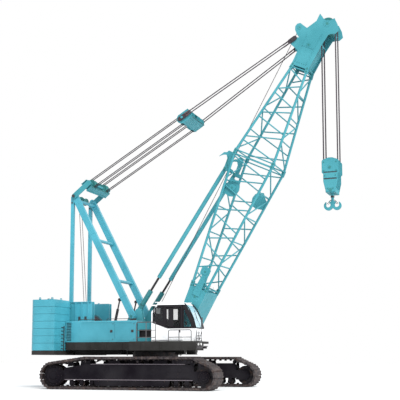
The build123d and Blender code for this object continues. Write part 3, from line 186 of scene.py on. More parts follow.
class Shader(Nodes):
    """The nodes of a material."""

    def __init__(self, name):
        self.material = bpy.data.materials.new(name)
        self.material.use_nodes = True
        super().__init__(self.material.node_tree, "Principled BSDF")
        self.coords = self.node("ShaderNodeTexCoord")["Object"]

    def noise(self, scale, detail, roughness=0.55, stretch=(1, 1, 1)):
        place = self.node("ShaderNodeMapping", {"Vector": self.coords, "Scale": stretch})["Vector"]
        return self.node("ShaderNodeTexNoise", {
            "Vector": place, "Scale": scale, "Detail": detail, "Roughness": roughness})["Fac"]

    def ramp(self, source, low, high, low_value=0.0, high_value=1.0):
        return self.node("ShaderNodeMapRange", {
            "Value": source, "From Min": low, "From Max": high, "To Min": low_value,
            "To Max": high_value})["Result"]

    def patches(self, base, colour, share, low, high, *noise):
        """Lay a colour over the base where noise is high."""
        return self.mix(self.ramp(self.noise(*noise), low, high, 0.0, share), base, colour)

    def bump(self, height, distance, strength):
        self.set(Normal=self.node("ShaderNodeBump", {
            "Height": height, "Distance": distance, "Strength": strength})["Normal"])

    def split(self, source):
        return self.node("ShaderNodeSeparateXYZ", {"Vector": source})

    def normal(self):
        return self.split(self.node("ShaderNodeNewGeometry")["Normal"])

    def crevices(self, reach):
        """Ambient occlusion, 1 in corners and under edges and 0 in the open: the mask of painted
        shade.
        """
        made = self.node("ShaderNodeAmbientOcclusion", {"Distance": reach}, samples=4)
        return self.ramp(made["AO"], 0.35, 0.95, 1.0, 0.0)


def shade(colour, factor):
    """Colour made darker or lighter."""
    return tuple(c * factor for c in colour)


def painted(name, colour, roughness=0.38, dust=(0.40, 0.37, 0.33), dusty=0.3, stain=0.25,
            coat=0.15, corner_shade=0.15, gloss=0.5):
    """Machine enamel: slight fading, faint streaks, dust on flat tops, painted shade in the
    corners.
    """
    shader = Shader(name)
    faded = tuple(min(1.0, c * 1.08 + 0.012) for c in colour)
    base = shader.patches(shade(colour, 0.92), faded, 1.0, 0.35, 0.65, 0.9, 3)
    base = shader.patches(base, shade(colour, 0.55), stain, 0.55, 0.78, 3.0, 5, 0.6,
                          (3, 3, 0.35))
    settled = shader.times(shader.ramp(shader.normal()["Z"], 0.3, 0.95),
                           shader.ramp(shader.noise(2.2, 6), 0.35, 0.7))
    base = shader.mix(shader.times(settled, dusty), base, dust)
    # painted shade: ambient occlusion darkens corners and the undersides of edges toward a darker
    # copy of the paint
    if corner_shade:
        base = shader.mix(shader.times(shader.crevices(0.12), corner_shade), base, shade(colour, 0.3))
    fine = shader.ramp(shader.noise(18, 3), 0.3, 0.7, roughness - 0.06, roughness + 0.1)
    shader.set(Base_Color=base, Roughness=fine, Specular_IOR_Level=gloss, Coat_Weight=coat,
               Coat_Roughness=0.2)
    shader.bump(shader.noise(14, 3), 0.002, 0.12)
    shader.base = base
    return shader


def cast(name, colour, rusty=0.35, roughness=0.6, metallic=0.5, soil=0.0):
    """Bare cast or rolled steel with patches of thin rust and of dry soil."""
    shader = Shader(name)
    base = shader.patches(colour, (0.16, 0.08, 0.045), rusty, 0.48, 0.68, 5.0, 6, 0.65)
    speckle = shader.ramp(shader.noise(45, 3), 0.4, 0.7)
    base = shader.mix(shader.times(speckle, 0.25), base, shade(colour, 0.6))
    if soil:
        base = shader.patches(base, (0.26, 0.22, 0.20), soil, 0.42, 0.66, 7.0, 5, 0.6)
    shader.set(Base_Color=base, Metallic=metallic,
               Roughness=shader.ramp(speckle, 0, 1, roughness, roughness + 0.2))
    shader.bump(shader.noise(35, 4), 0.004, 0.35)
    return shader


def grained(name, low, high, patches, grain, strength, **values):
    """Plain material of two close colours, with a fine bump."""
    shader = Shader(name)
    shader.set(Base_Color=shader.patches(low, high, 1.0, *patches), **values)
    shader.bump(shader.noise(grain, 2), 0.001, strength)
    return shader


# outline of the black round the cab's windows: it rises behind the knee, its shoulder slopes
BAND_LOW, BAND_TOP, BAND_REAR = 2.634, 3.672, 0.70
BAND_KNEE_X, BAND_RISE, BAND_SHOULDER_Z, BAND_SHOULDER_RISE = 1.44, 0.337, 3.33, 1.33


def cab_enamel(name):
    """White enamel with the black band in which the cab's windows sit."""
    shader = painted(name, (0.90, 0.91, 0.92), 0.4, dusty=0.08, stain=0.03, coat=0.05,
                     corner_shade=0.1, gloss=0.2)
    calc, z = shader.math, shader.split(shader.coords)["Z"]
    x = calc("SUBTRACT", shader.split(shader.coords)["X"], SWING_X)
    rise = shader.times(calc("MAXIMUM", calc("SUBTRACT", BAND_KNEE_X, x), 0.0), BAND_RISE)
    slope = shader.times(calc("SUBTRACT", x, BAND_REAR), BAND_SHOULDER_RISE)
    shoulder = calc("ADD", slope, BAND_SHOULDER_Z)
    inside = calc("SUBTRACT", z, calc("ADD", rise, BAND_LOW))
    for edge in (calc("SUBTRACT", BAND_TOP, z), calc("SUBTRACT", x, BAND_REAR),
                 calc("SUBTRACT", shoulder, z)):
        inside = calc("MINIMUM", inside, edge)
    band = shader.ramp(inside, -0.002, 0.002)
    shader.set(Base_Color=shader.mix(band, shader.base, (0.013, 0.011, 0.014)))
    return shader


def glass(name):
    """Dark tinted side panes, and a pale windscreen whose colour is a painted reflection; partly
    clear.
    """
    shader = Shader(name)
    front = shader.ramp(shader.normal()["X"], 0.35, 0.6)
    dim = shader.ramp(shader.noise(1.6, 2), 0.3, 0.7, 0.06, 0.11)
    # painted reflection: panes that face forward are pale blue and mostly opaque, the side panes
    # dark and nearly clear
    shader.set(Base_Color=shader.mix(front, (0.012, 0.020, 0.020), (0.42, 0.62, 0.70)),
               Alpha=shader.mix(front, dim, (0.72, 0.72, 0.72)),
               Roughness=0.04, IOR=1.5, Coat_Weight=0.6, Coat_Roughness=0.03)
    return shader


def deck_enamel(name):
    """Deck enamel below the walkway's level, machine teal on the box that stands on it."""
    shader = painted(name, DECK_BLACK, **DECK_COAT)
    high = shader.ramp(shader.split(shader.coords)["Z"], DECK_Z + 0.004, DECK_Z + 0.006)
    shader.set(Base_Color=shader.mix(high, shader.base, (0.040, 0.240, 0.290)))
    return shader


TEAL, DEEP_TEAL = (0.045, 0.300, 0.385), (0.008, 0.150, 0.165)
BOOM_TEAL, BOOM_DEEP = (0.048, 0.262, 0.308), (0.030, 0.180, 0.178)
BOOM_COAT = {"roughness": 0.5, "dusty": 0.1, "coat": 0, "corner_shade": 0, "gloss": 0.2}
DECK_BLACK = (0.018, 0.017, 0.016)
DECK_COAT = {"roughness": 0.7, "dusty": 0.18, "stain": 0.1, "coat": 0, "gloss": 0.25}
LENS_COAT = {"coat": 0.8, "corner_shade": 0.1}
PAINTS = {                  # by the record's material slots
    "teal_paint": painted("teal_enamel", TEAL, corner_shade=0.06, gloss=0.4),
    "dark_teal_paint": painted("deep_teal_enamel", DEEP_TEAL, 0.42),
    "undercarriage_paint": painted("undercarriage_enamel", (0.0035, 0.002, 0.005), 0.85,
                                   dust=(0.12, 0.10, 0.11), dusty=0.12, stain=0.1, coat=0,
                                   gloss=0.15),
    "frame_paint": painted("frame_enamel", DECK_BLACK, **DECK_COAT),
    "cab_paint": cab_enamel("white_enamel"),
    "rail_paint": painted("rail_enamel", (0.07, 0.065, 0.07), 0.45),
    "drum_steel": painted("drum_enamel", (0.030, 0.16, 0.20), 0.5),
    "track_steel": cast("shoe_steel", (0.034, 0.028, 0.032), soil=0.25),
    "wheel_steel": cast("wheel_cast", (0.017, 0.015, 0.020), soil=0.08),
    "ring_steel": cast("ring_cast", (0.035, 0.033, 0.036)),
    "engine_iron": cast("engine_cast", (0.06, 0.06, 0.06)),
    "cylinder_steel": cast("oiled_steel", (0.030, 0.030, 0.034), rusty=0.1, roughness=0.3,
                           metallic=0.7),
    "sheave_iron": painted("sheave_enamel", (0.014, 0.075, 0.090), 0.5),
    "rope_wire": grained("wire_rope", (0.032, 0.0256, 0.032), (0.040, 0.032, 0.040),
                         (0.35, 0.65, 40, 3, 0.6), 160, 0.3, Metallic=0.2, Roughness=0.75),
    "hook_steel": painted("hook_enamel", (0.035, 0.26, 0.31), 0.4),
    "glass": glass("cab_pane"),
    "seat_fabric": grained("seat_cloth", (0.02, 0.02, 0.023), (0.032, 0.032, 0.0368),
                           (0.4, 0.6, 220, 2), 220, 0.4, Roughness=0.9),
}
EXTRAS = {                  # finishes of small pieces, and the slot that each is nearest to
    "black": (grained("black_rubber", (0.011, 0.010, 0.012), (0.022, 0.020, 0.024),
                      (0.4, 0.7, 30, 3), 150, 0.3, Roughness=0.65, Specular_IOR_Level=0.2),
              "frame_paint"),
    "dark": (painted("black_enamel", (0.022, 0.021, 0.023), 0.45, coat=0.05), "frame_paint"),
    "lens": (painted("lamp_lens", (0.75, 0.76, 0.74), 0.12, **LENS_COAT), "cab_paint"),
    "red": (painted("pin_primer", (0.060, 0.024, 0.028), 0.5, stain=0.1), "rope_wire"),
    "lamp_red": (painted("tail_lens", (0.45, 0.02, 0.02), 0.2, **LENS_COAT), "glass"),
    "worn": (cast("worn_edge", (0.20, 0.175, 0.20), rusty=0.15, roughness=0.5, metallic=0.3),
             "undercarriage_paint"),
    "boom": (painted("boom_enamel", BOOM_TEAL, stain=0.12, **BOOM_COAT), "teal_paint"),
    "boom_deep": (painted("boom_deep_enamel", BOOM_DEEP, stain=0.1, **BOOM_COAT),
                  "dark_teal_paint"),
    "mirror": (cast("mirror_face", (0.75, 0.78, 0.80), rusty=0, roughness=0.05, metallic=1.0),
               "glass"),
    "white": (painted("plain_white", (0.84, 0.85, 0.87), 0.3, dusty=0.12, stain=0.05),
              "cab_paint"),
}
# nodes whose finish differs from that of their slot
OWN_FINISH = {"cab_platform": deck_enamel("platform_enamel")}
for label in ("hook_block", "hook", "spreader", "bridle", "backstop_tubes", "mast_brackets",
              *frame["record"]["behaviour"]["bodies"]["boom"]):
    OWN_FINISH[label] = EXTRAS["boom"][0]
for label in ("head_sheaves", "tackle_sheaves", "bridle_sheaves", "hook_block_sheaves"):
    OWN_FINISH[label] = EXTRAS["boom_deep"][0]
for row in frame["record"]["subparts"]:
    materials = NODES[row["node"]].data.materials
    materials.clear()
    materials.append(OWN_FINISH.get(row["node"], PAINTS[row["material_slot"]]).material)


# ------------ mesh tools
SHARP = 0.6                 # edges that turn by more, in radians, stay sharp


def span(hand, near, far):
    """Low and high Y of what reaches from near to far on one side."""
    return sorted((hand * near, hand * far))


def proud(hand, face, depth):
    """The same, for what stands on a face."""
    return span(hand, face, face + depth)


def about(middle, half):
    """Low and high ends of what lies about its middle."""
    return middle - half, middle + half


def spoke(centre, across, other, reach, angle):
    """Point at an angle and a reach from a centre, in the plane of two directions."""
    return centre + across * reach * math.cos(angle) + other * reach * math.sin(angle)


def section(centre, across, other, radius, sides):
    return [spoke(centre, across, other, radius, 2 * math.pi * i / sides) for i in range(sides)]


def circle(centre, axis, radius, sides):
    """Ring of points round an axis."""
    across = axis.orthogonal().normalized()
    return section(centre, across, axis.cross(across).normalized(), radius, sides)


def bow(x0, x1, y, rises):
    """Points up one end, over and down the other, from steps in and heights."""
    return ([(x0 + step, y, z) for step, z in rises]
            + [(x1 - step, y, z) for step, z in reversed(rises)])


class Piece:
    """A mesh gathered from closed solids, then set on a body."""

    def __init__(self):
        self.mesh = bmesh.new()

    def verts(self, points):
        return [self.mesh.verts.new(p) for p in points]

    def skin(self, rows):
        """Faces between each ring of vertices and the next."""
        for low, high in zip(rows, rows[1:]):
            for i in range(len(low)):
                j = (i + 1) % len(low)
                self.mesh.faces.new((low[i], low[j], high[j], high[i]))

    def loft(self, *rings):
        """Closed skin through rings of points, capped at both ends."""
        rows = [self.verts(ring) for ring in rings]
        self.skin(rows)
        self.mesh.faces.new(rows[0][::-1])
        self.mesh.faces.new(rows[-1])

    def prism(self, outline, run):
        self.loft(outline, [p + run for p in outline])

    def slab(self, middle, x, y, z):
        """Box about its middle with half edges x, y and z."""
        corners = ((-1, -1), (1, -1), (1, 1), (-1, 1))
        self.prism([middle + a * x + b * y - z for a, b in corners], z * 2)

    def box(self, x, y, z):
        """Box between (low, high) pairs measured from the swing axis."""
        halves = [(high - low) / 2 for low, high in (x, y, z)]
        self.slab(at(sum(x) / 2, sum(y) / 2, sum(z) / 2), X_AXIS * halves[0],
                  Y_AXIS * halves[1], Z_AXIS * halves[2])

    def boxes(self, *rows):
        for row in rows:
            self.box(*row)

    def plate(self, points, y, thick, place=upright):
        """Plate from (x, z) or (s, m) points, centred on y."""
        self.prism([place(a, b, y - thick / 2) for a, b in points], Y_AXIS * thick)

    def rod(self, start, end, radius, sides, end_radius=None):
        axis = (end - start).normalized()
        self.loft(circle(start, axis, radius, sides),
                  circle(end, axis, radius if end_radius is None else end_radius, sides))

    def stud(self, start, run, *size):
        """Rod that stands on a point."""
        self.rod(start, start + run, *size)

    def pin(self, middle, half, *size):
        """Rod about its middle."""
        self.rod(middle - half, middle + half, *size)

    def tube(self, points, radius, sides=8, place=at):
        """Bent tube or hose through points, with round corners left to the points."""
        points = [place(*point) for point in points]
        ends = zip(points[:1] + points, points[1:] + points[-1:])
        axes = [(after - before).normalized() for before, after in ends]
        across = axes[0].orthogonal().normalized()
        rows = []
        for point, axis in zip(points, axes):
            across = (across - axis * across.dot(axis)).normalized()
            rows.append(section(point, across, axis.cross(across), radius, sides))
        self.loft(*rows)

    def ring(self, middle, axis, radius, bore, width, sides):
        """Flat ring about an axis."""
        half = axis.normalized() * width / 2
        rows = [self.verts(circle(middle + off, axis, r, sides))
                for off, r in ((-half, bore), (-half, radius), (half, radius), (half, bore))]
        self.skin(rows + rows[:1])

    def bolts(self, middle, axis, radius, count, size, tall):
        """Hexagon heads round a circle."""
        axis = axis.normalized()
        for place in circle(middle, axis, radius, count):
            self.stud(place, axis * tall, size, 6)

    def done(self, body, name, finish, bevel=0.0):
        mesh = bpy.data.meshes.new(name)
        bmesh.ops.recalc_face_normals(self.mesh, faces=self.mesh.faces)
        if bevel:
            sharp = [e for e in self.mesh.edges if e.calc_face_angle(0) > SHARP]
            bmesh.ops.bevel(self.mesh, geom=sharp, offset=bevel, segments=1, affect="EDGES",
                            clamp_overlap=True)
        self.mesh.to_mesh(mesh)
        self.mesh.free()
        mesh.shade_smooth()
        mesh.set_sharp_from_angle(angle=SHARP)
        made = add(name, mesh)
        shader, near = EXTRAS[finish] if finish in EXTRAS else (PAINTS[finish], finish)
        mesh.materials.append(shader.material)
        if body:
            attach(made, body)
        return made


def pieces(count):
    return [Piece() for _ in range(count)]


def settle(body, *rows):
    """Finish pieces of one body: each row says the piece, its name, finish and bevel."""
    for piece, *how in rows:
        piece.done(body, *how)


ROPE_LAY, STRANDS, LAY_STEPS = 0.22, 6, 6


def rope(piece, start, end, radius=ROPE_R):
    """Laid rope between two points: a lobed section that turns as it runs."""
    run = end - start
    axis = run.normalized()
    across = axis.orthogonal().normalized()
    other = axis.cross(across)
    count = max(2, round(run.length / ROPE_LAY * LAY_STEPS))
    rows = []
    for i in range(count + 1):
        turn = 4 * math.pi * i / LAY_STEPS / STRANDS
        middle = start + run * (i / count)
        rows.append([])
        for k in range(STRANDS * 2):
            angle = math.pi * k / STRANDS + turn
            reach = radius * (0.88 if k % 2 else 1.0)
            rows[-1].append(spoke(middle, across, other, reach, angle))
    piece.loft(*rows)


# ------------ tracks
SHOE_PITCH = 0.264
TUMBLER, IDLER = (-3.5, 0.6), (3.53, 0.57)          # centres of the end wheels
HINGE_WHEELS = ((*TUMBLER, 0.525), (*IDLER, 0.495), (2.98, 1.205, 0.14), (-1.96, 1.205, 0.14))
SHOE_PARTS = (              # along the loop, off the hinge line, across
    ((-0.128, 0.120), (0.026, 0.054), (-0.55, 0.55)),
    ((0.100, 0.146), (0.014, 0.030), (-0.53, 0.53)),
    ((-0.104, -0.050), (0.054, 0.075), (-0.55, 0.55)),
    ((0.048, 0.102), (0.054, 0.075), (-0.55, 0.55)),
    ((-0.120, 0.120), (-0.030, 0.026), (-0.55, -0.50)),
    ((-0.120, 0.120), (-0.030, 0.026), (0.50, 0.55)),
    ((-0.128, 0.128), (-0.058, 0.030), (-0.235, -0.145)),
    ((-0.128, 0.128), (-0.058, 0.030), (0.145, 0.235)),
    ((-0.045, 0.045), (-0.115, 0.030), (-0.055, 0.055)),
)


def loop_runs():
    """Arcs and straight runs of the hinge line round the end wheels and carriers."""
    pairs = list(zip(HINGE_WHEELS, HINGE_WHEELS[1:] + HINGE_WHEELS[:1]))
    gaps = [math.hypot(x1 - x0, z1 - z0) for (x0, z0, _), (x1, z1, _) in pairs]
    normals = [math.atan2(z1 - z0, x1 - x0) - math.acos((r0 - r1) / gap)
               for gap, ((x0, z0, r0), (x1, z1, r1)) in zip(gaps, pairs)]
    runs = []
    for i, ((x, z, r0), (_, _, r1)) in enumerate(pairs):
        turned = (normals[i] - normals[i - 1]) % (2 * math.pi)
        runs.append(("arc", x, z, r0, normals[i] - turned, turned, r0 * turned))
        runs.append(("line", x, z, r0, normals[i], 0, math.sqrt(gaps[i] ** 2 - (r0 - r1) ** 2)))
    return runs


def along_loop(runs, length):
    """Place, outward and forward directions at a length along the loop."""
    for kind, x, z, radius, angle, turned, run in runs:
        if length <= run:
            if kind == "arc":
                angle += turned * length / run
            out = Vector((math.cos(angle), 0, math.sin(angle)))
            ahead = risen(out)
            place = at(x, 0, z) + out * radius
            return (place if kind == "arc" else place + ahead * length), out, ahead
        length -= run
    return along_loop(runs, 0.0)


def make_tracks():
    runs = loop_runs()
    total = sum(run[-1] for run in runs)
    count = round(total / SHOE_PITCH)
    for label, hand in SIDES:
        shoes = Piece()
        for i in range(count):
            place, out, ahead = along_loop(runs, total * i / count)
            place = place + Y_AXIS * hand * GAUGE_HALF
            for run, off, across in SHOE_PARTS:
                middle = place + (ahead * sum(run) + out * sum(off) + Y_AXIS * sum(across)) / 2
                shoes.slab(middle, ahead * (run[1] - run[0]) / 2,
                           Y_AXIS * (across[1] - across[0]) / 2, out * (off[1] - off[0]) / 2)
        made = shoes.done("undercarriage", f"track_shoes_{label}", "track_steel", 0.007)
        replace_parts(made, f"track_{label}")


make_tracks()


# ------------ undercarriage
FRAME_FACE, DRIVE_FACE, ROLLER_Z, PORT_Z, KEY_TOP = 3.21, 2.40, 0.265, 0.86, 1.30
ROLLER_X = [-2.64 + 5.4 / 11 * i for i in range(12)]


def make_undercarriage():
    trim, bolts, covers, lips, guards, hoses = pieces(6)
    # bolts of the slewing ring
    bolts.bolts(at(0, 0, 1.30), Z_AXIS, 1.155, 40, 0.020, 0.03)
    for hand, out in OUTWARD:
        face = hand * FRAME_FACE
        # worn lips along the girder's lower and upper edges
        lips.box((-2.95, 3.02), proud(hand, FRAME_FACE, 0.03), (0.412, 0.440))
        lips.box((-1.70, 2.68), proud(hand, FRAME_FACE, 0.022), (1.085, 1.108))
        # chain guides over the girder and a bolted guard along its bottom rollers
        for x0, x1, z in ((-2.86, -2.52, 1.18), (-2.24, -1.72, 1.25), (-0.9, -0.3, 1.262),
                          (1.2, 1.9, 1.262)):
            for y in (3.16, 2.64):
                guards.plate([(x0, 0.98), (x1, 1.02), (x1 - 0.05, z), (x0 + 0.05, z - 0.02)],
                             hand * y, 0.05)
        guards.plate([(-1.55, 0.412), (-1.47, 0.16), (1.94, 0.16), (2.02, 0.412)],
                     hand * 3.225, 0.024)
        for i in range(8):
            bolts.stud(at(-1.31 + i * 0.44, hand * 3.236, 0.37), out * 0.016, 0.02, 6)
        # round ports, and a bolted cover at the idler
        for x in (-2.45, -0.93, 0.153, 1.24, 2.45):
            trim.ring(at(x, face, PORT_Z), out, 0.115, 0.088, 0.02, 28)
            covers.stud(at(x, face - hand * 0.02, PORT_Z), out * 0.023, 0.088, 28)
        trim.box((1.85, 2.9), proud(hand, FRAME_FACE, 0.016), (0.52, 0.74))
        for x in (1.93, 2.37, 2.82):
            for z in (0.56, 0.70):
                bolts.stud(at(x, face, z), out * 0.028, 0.018, 6)
        # dished cover of the tumbler and hub of the idler
        for (x, z), rim in ((TUMBLER, 0.44), (IDLER, 0.25)):
            hub = at(x, face, z)
            for share, reach in ((1, 0.022), (0.8, 0.045), (0.42, 0.07)):
                covers.stud(hub, out * reach, rim * share, 40, rim * share - 0.012)
            trim.ring(hub + out * 0.018, out, rim + 0.012, rim - 0.02, 0.03, 48)
            bolts.bolts(hub + out * 0.02, out, rim * 0.9, 16, 0.016, 0.016)
            bolts.bolts(hub + out * 0.044, out, rim * 0.55, 8, 0.014, 0.014)
        # inner side: cover and bolts of the final drive
        drive = at(TUMBLER[0], hand * DRIVE_FACE, TUMBLER[1])
        covers.stud(drive, out * -0.06, 0.24, 36)
        bolts.bolts(drive, -out, 0.28, 14, 0.016, 0.02)
        # caps of the bottom rollers
        for x in ROLLER_X:
            covers.stud(at(x, face, ROLLER_Z), out * 0.016, 0.055, 18)
            bolts.bolts(at(x, face + hand * 0.012, ROLLER_Z), out, 0.036, 4, 0.008, 0.01)
        # keys that lock the frames to the carbody's beams
        for x in (-1.08, 1.08):
            covers.box(about(x, 0.24), span(hand, 2.50, 2.588), (1.221, KEY_TOP))
            for bolt in about(x, 0.16):
                bolts.stud(at(bolt, hand * 2.545, KEY_TOP), Z_AXIS * 0.035, 0.03, 6)
        # hoses to the travel motors
        for d in (0.0, 0.07):
            hoses.tube([(x, hand * y, z) for x, y, z in (
                (-0.75 - d, 1.30, 1.32), (-1.30 - d, 1.45, 1.36), (-1.75, 1.75 + d, 1.33),
                (-2.20, 2.10 + d, 1.10), (-2.75, 2.28 + d, 0.82), (-3.15, 2.32 + d, 0.70),
                (-3.42, 2.35 + d, 0.64))], 0.022)
    settle("undercarriage", (trim, "frame_trim", "undercarriage_paint", 0.004),
           (lips, "frame_lips", "worn", 0.003),
           (guards, "chain_guards", "undercarriage_paint", 0.004),
           (covers, "drive_covers", "undercarriage_paint", 0.004),
           (bolts, "undercarriage_bolts", "wheel_steel"),
           (hoses, "travel_hoses", "black"))


make_undercarriage()


# ------------ deck and platform
SILL_FACE, WALK_FACE = 1.70, 2.50


def make_deck():
    tread, brackets, steps, rails, lining, lamps = pieces(6)
    # chequered walkway in panels
    for i in range(6):
        x0 = -0.17 + i * 0.51
        tread.box((x0, x0 + 0.49), (-2.43, -1.72), (2.022, 2.030))
        for row in range(5):
            for place in range(4):
                turn = 0.6 if (row + place) % 2 else -0.6
                tread.slab(at(x0 + 0.07 + place * 0.12, -2.36 + row * 0.14, 2.032),
                           Vector((math.cos(turn), math.sin(turn), 0)) * 0.03,
                           Vector((-math.sin(turn), math.cos(turn), 0)) * 0.007, Z_AXIS * 0.004)
    # main beams of the frame below the deck's sill, fore and aft of the ring
    for hand in HANDS:
        for x in ((-3.72, -1.30), (1.30, 1.74)):
            brackets.box(x, span(hand, 0.60, 0.84), (1.53, 1.72))
            brackets.box(x, span(hand, 0.54, 0.90), (1.515, 1.535))
    for x in (-3.5, -2.7, -1.9):
        brackets.box((x, x + 0.06), (-0.60, 0.60), (1.55, 1.72))
    # ribs of the sill and the brackets of the walkway
    for x in (-3.35, -2.55, -1.75, -0.95):
        brackets.box((x, x + 0.05), proud(-1, SILL_FACE, 0.022), (1.73, 2.06))
    brackets.box((-3.74, -0.22), proud(-1, SILL_FACE, 0.022), (1.72, 1.745))
    brackets.box((-0.2, 2.9), proud(-1, WALK_FACE, 0.012), (1.68, 1.705))
    for x in (0.35, 1.25, 2.2):
        brackets.box((x, x + 0.04), proud(-1, WALK_FACE, 0.015), (1.70, 2.07))
    # walkway rails: a high arch by the house, a gap for the door, a low rail by the cab
    y, foot = -2.47, DECK_Z - 0.01
    for x0, x1, top, middles, post in ((0.13, 1.03, 2.91, (2.56, 2.25), 0.58),
                                       (1.63, 2.68, 2.56, (2.25,), 2.12)):
        rises = ((0, foot), (0, top - 0.07), (0.02, top - 0.02), (0.07, top))
        rails.tube(bow(x0, x1, y, rises), 0.019, 10)
        for z in middles:
            rails.rod(at(x0, y, z), at(x1, y, z), 0.015, 10)
        rails.rod(at(post, y, foot), at(post, y, top), 0.017, 10)
        for x in (x0, post, x1):
            rails.box(about(x, 0.045), (y - 0.028, y + 0.045), (DECK_Z - 0.012, DECK_Z + 0.002))
    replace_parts(rails.done("upper", "walkway_rails", "rail_paint", 0.002), "handrails")
    # folding steps below the walkway
    for hand, x in ((-1, -0.62), (1, 0.2)):
        for z in (1.72, 1.52):
            steps.box((x, x + 0.36), span(hand, 1.73, 1.98), (z - 0.02, z))
        for edge in (x - 0.02, x + 0.36):
            steps.box((edge, edge + 0.02), span(hand, 1.73, 1.78), (1.46, 1.76))
            steps.box((edge, edge + 0.02), span(hand, 1.702, 1.78), (1.72, 1.76))
    # black sheets and slats lining the step recess beside the cab: painted shade, black where the
    # recess lies in shadow
    (x0, x1), (z0, z1), back, slot = (-0.079, 0.529), (2.281, 2.619), -1.581, 0.07
    lining.box((x0, x1), (back - 0.008, back), (z0, z1))
    for x in ((x0, x0 + 0.006), (x1 - 0.006, x1)):
        lining.box(x, (-SILL_FACE, back), (z0, z1))
    for z in ((z0, z0 + 0.006), (z1 - 0.006, z1)):
        lining.box((x0, x1), (-SILL_FACE, back), z)
    for i in range(4):
        z = z0 + 0.05 + i * slot
        lining.box((x0 + 0.03, x1 - 0.03), (back - 0.02, back - 0.008), (z, z + 0.012))
    # two round lamps at the front of the sill
    for y in (-2.30, -1.95):
        lamps.stud(at(2.915, y, 1.95), X_AXIS * 0.05, 0.06, 20)
    settle("upper", (lining, "recess_lining", "black", 0.001), (tread, "walkway_tread", "dark"),
           (brackets, "sill_ribs", "frame_paint", 0.004), (steps, "access_steps", "dark", 0.003),
           (lamps, "sill_lamps", "lens", 0.006))


make_deck()


# ------------ houses
DOORS = {                   # side, hinge and free edge
    "right_rear": (-1, -3.03, -1.30), "right_front": (-1, -1.25, -0.26),
    "left_rear": (1, -3.03, -1.30), "left_front": (1, -1.25, 0.94),
}


def make_houses():
    louvres, rails, plain, stack = pieces(4)
    for hand in HANDS:
        # louvred screen between the house and the counterweights
        y = span(hand, HOUSE_IN + 0.02, HOUSE_OUT - 0.004)
        louvres.boxes(((-3.79, -3.752), y, (DECK_Z, HOUSE_TOP - 0.01)),
                      ((-3.488, -3.452), y, (DECK_Z, HOUSE_TOP - 0.01)),
                      ((-3.752, -3.488), y, (DECK_Z, DECK_Z + 0.06)),
                      ((-3.752, -3.488), y, (HOUSE_TOP - 0.07, HOUSE_TOP - 0.01)))
        plain.box((-3.752, -3.488), span(hand, HOUSE_IN + 0.06, HOUSE_OUT - 0.09),
                  (DECK_Z + 0.02, HOUSE_TOP - 0.04))
        for i in range(11):
            louvres.slab(at(-3.62, hand * (HOUSE_OUT - 0.045), DECK_Z + 0.12 + i * 0.072),
                         X_AXIS * 0.132, Vector((0, 0.036, -0.022 * hand)),
                         Vector((0, 0.002 * hand, 0.004)))
        # grab rails and seam strips on the roof
        front = -0.2 if hand < 0 else 1.0
        y = hand * (HOUSE_OUT - 0.13)
        for x0 in (-3.2, -1.75):
            rises = ((0, HOUSE_TOP - 0.01), (0, HOUSE_TOP + 0.05), (0.03, HOUSE_TOP + 0.08))
            rails.tube(bow(x0, min(x0 + 1.2, front - 0.1), y, rises), 0.014)
        for x in (-3.04, -1.275):
            plain.box(about(x, 0.012), span(hand, HOUSE_IN + 0.03, HOUSE_OUT - 0.05),
                      (HOUSE_TOP, HOUSE_TOP + 0.006))
    # low exhaust and intake on the engine's side
    y = 1.38
    stack.tube([(-2.5, y, 3.0), (-2.5, y, 3.07), (-2.53, y, 3.11), (-2.62, y, 3.13),
                (-2.75, y, 3.13)], 0.06, 16)
    stack.rod(at(-1.6, y, 3.035), at(-1.6, y, 3.11), 0.12, 24, 0.11)
    stack.rod(at(-1.6, y, 3.11), at(-1.6, y, 3.135), 0.14, 24, 0.12)
    # door furniture: a latch and handle at the free edge, stiffening seams, slats on the engine's
    for name, (hand, hinge, free) in DOORS.items():
        handle, seams = pieces(2)
        face, x = hand * HOUSE_OUT, free - 0.16
        handle.box(about(x, 0.06), span(hand, HOUSE_OUT - 0.002, HOUSE_OUT + 0.004), (2.50, 2.62))
        handle.box(about(x, 0.045), span(hand, HOUSE_OUT + 0.004, HOUSE_OUT + 0.022), (2.53, 2.56))
        for z in (2.20, 2.89):
            handle.stud(at(x + 0.08, face, z), Y_AXIS * hand * 0.012, 0.02, 14)
        for z in ((2.17, 2.178), (2.912, 2.92)):
            seams.box((hinge + 0.04, free - 0.04), proud(hand, HOUSE_OUT, 0.003), z)
        if hand > 0:
            half = ((free - hinge) / 2 - 0.25) / 2
            for bank in (hinge + 0.15, (hinge + free) / 2 + 0.05):
                for i in range(9):
                    seams.slab(at(bank + half, face + 0.006, 2.30 + i * 0.06),
                               X_AXIS * half, Vector((0, 0.009, -0.012)),
                               Vector((0, 0.003, 0.004)))
        settle(f"house_door_{name}", (handle, f"latch_{name}", "dark", 0.002),
               (seams, f"panel_lines_{name}", "teal_paint", 0.001))
    settle("upper", (louvres, "house_louvres", "teal_paint", 0.003),
           (plain, "radiator_cores", "drum_steel"), (rails, "roof_rails", "dark"),
           (stack, "exhaust_and_intake", "dark", 0.003))


make_houses()


# ------------ counterweights
STACK_TOP, STACK_OUT = 4.0, 2.70


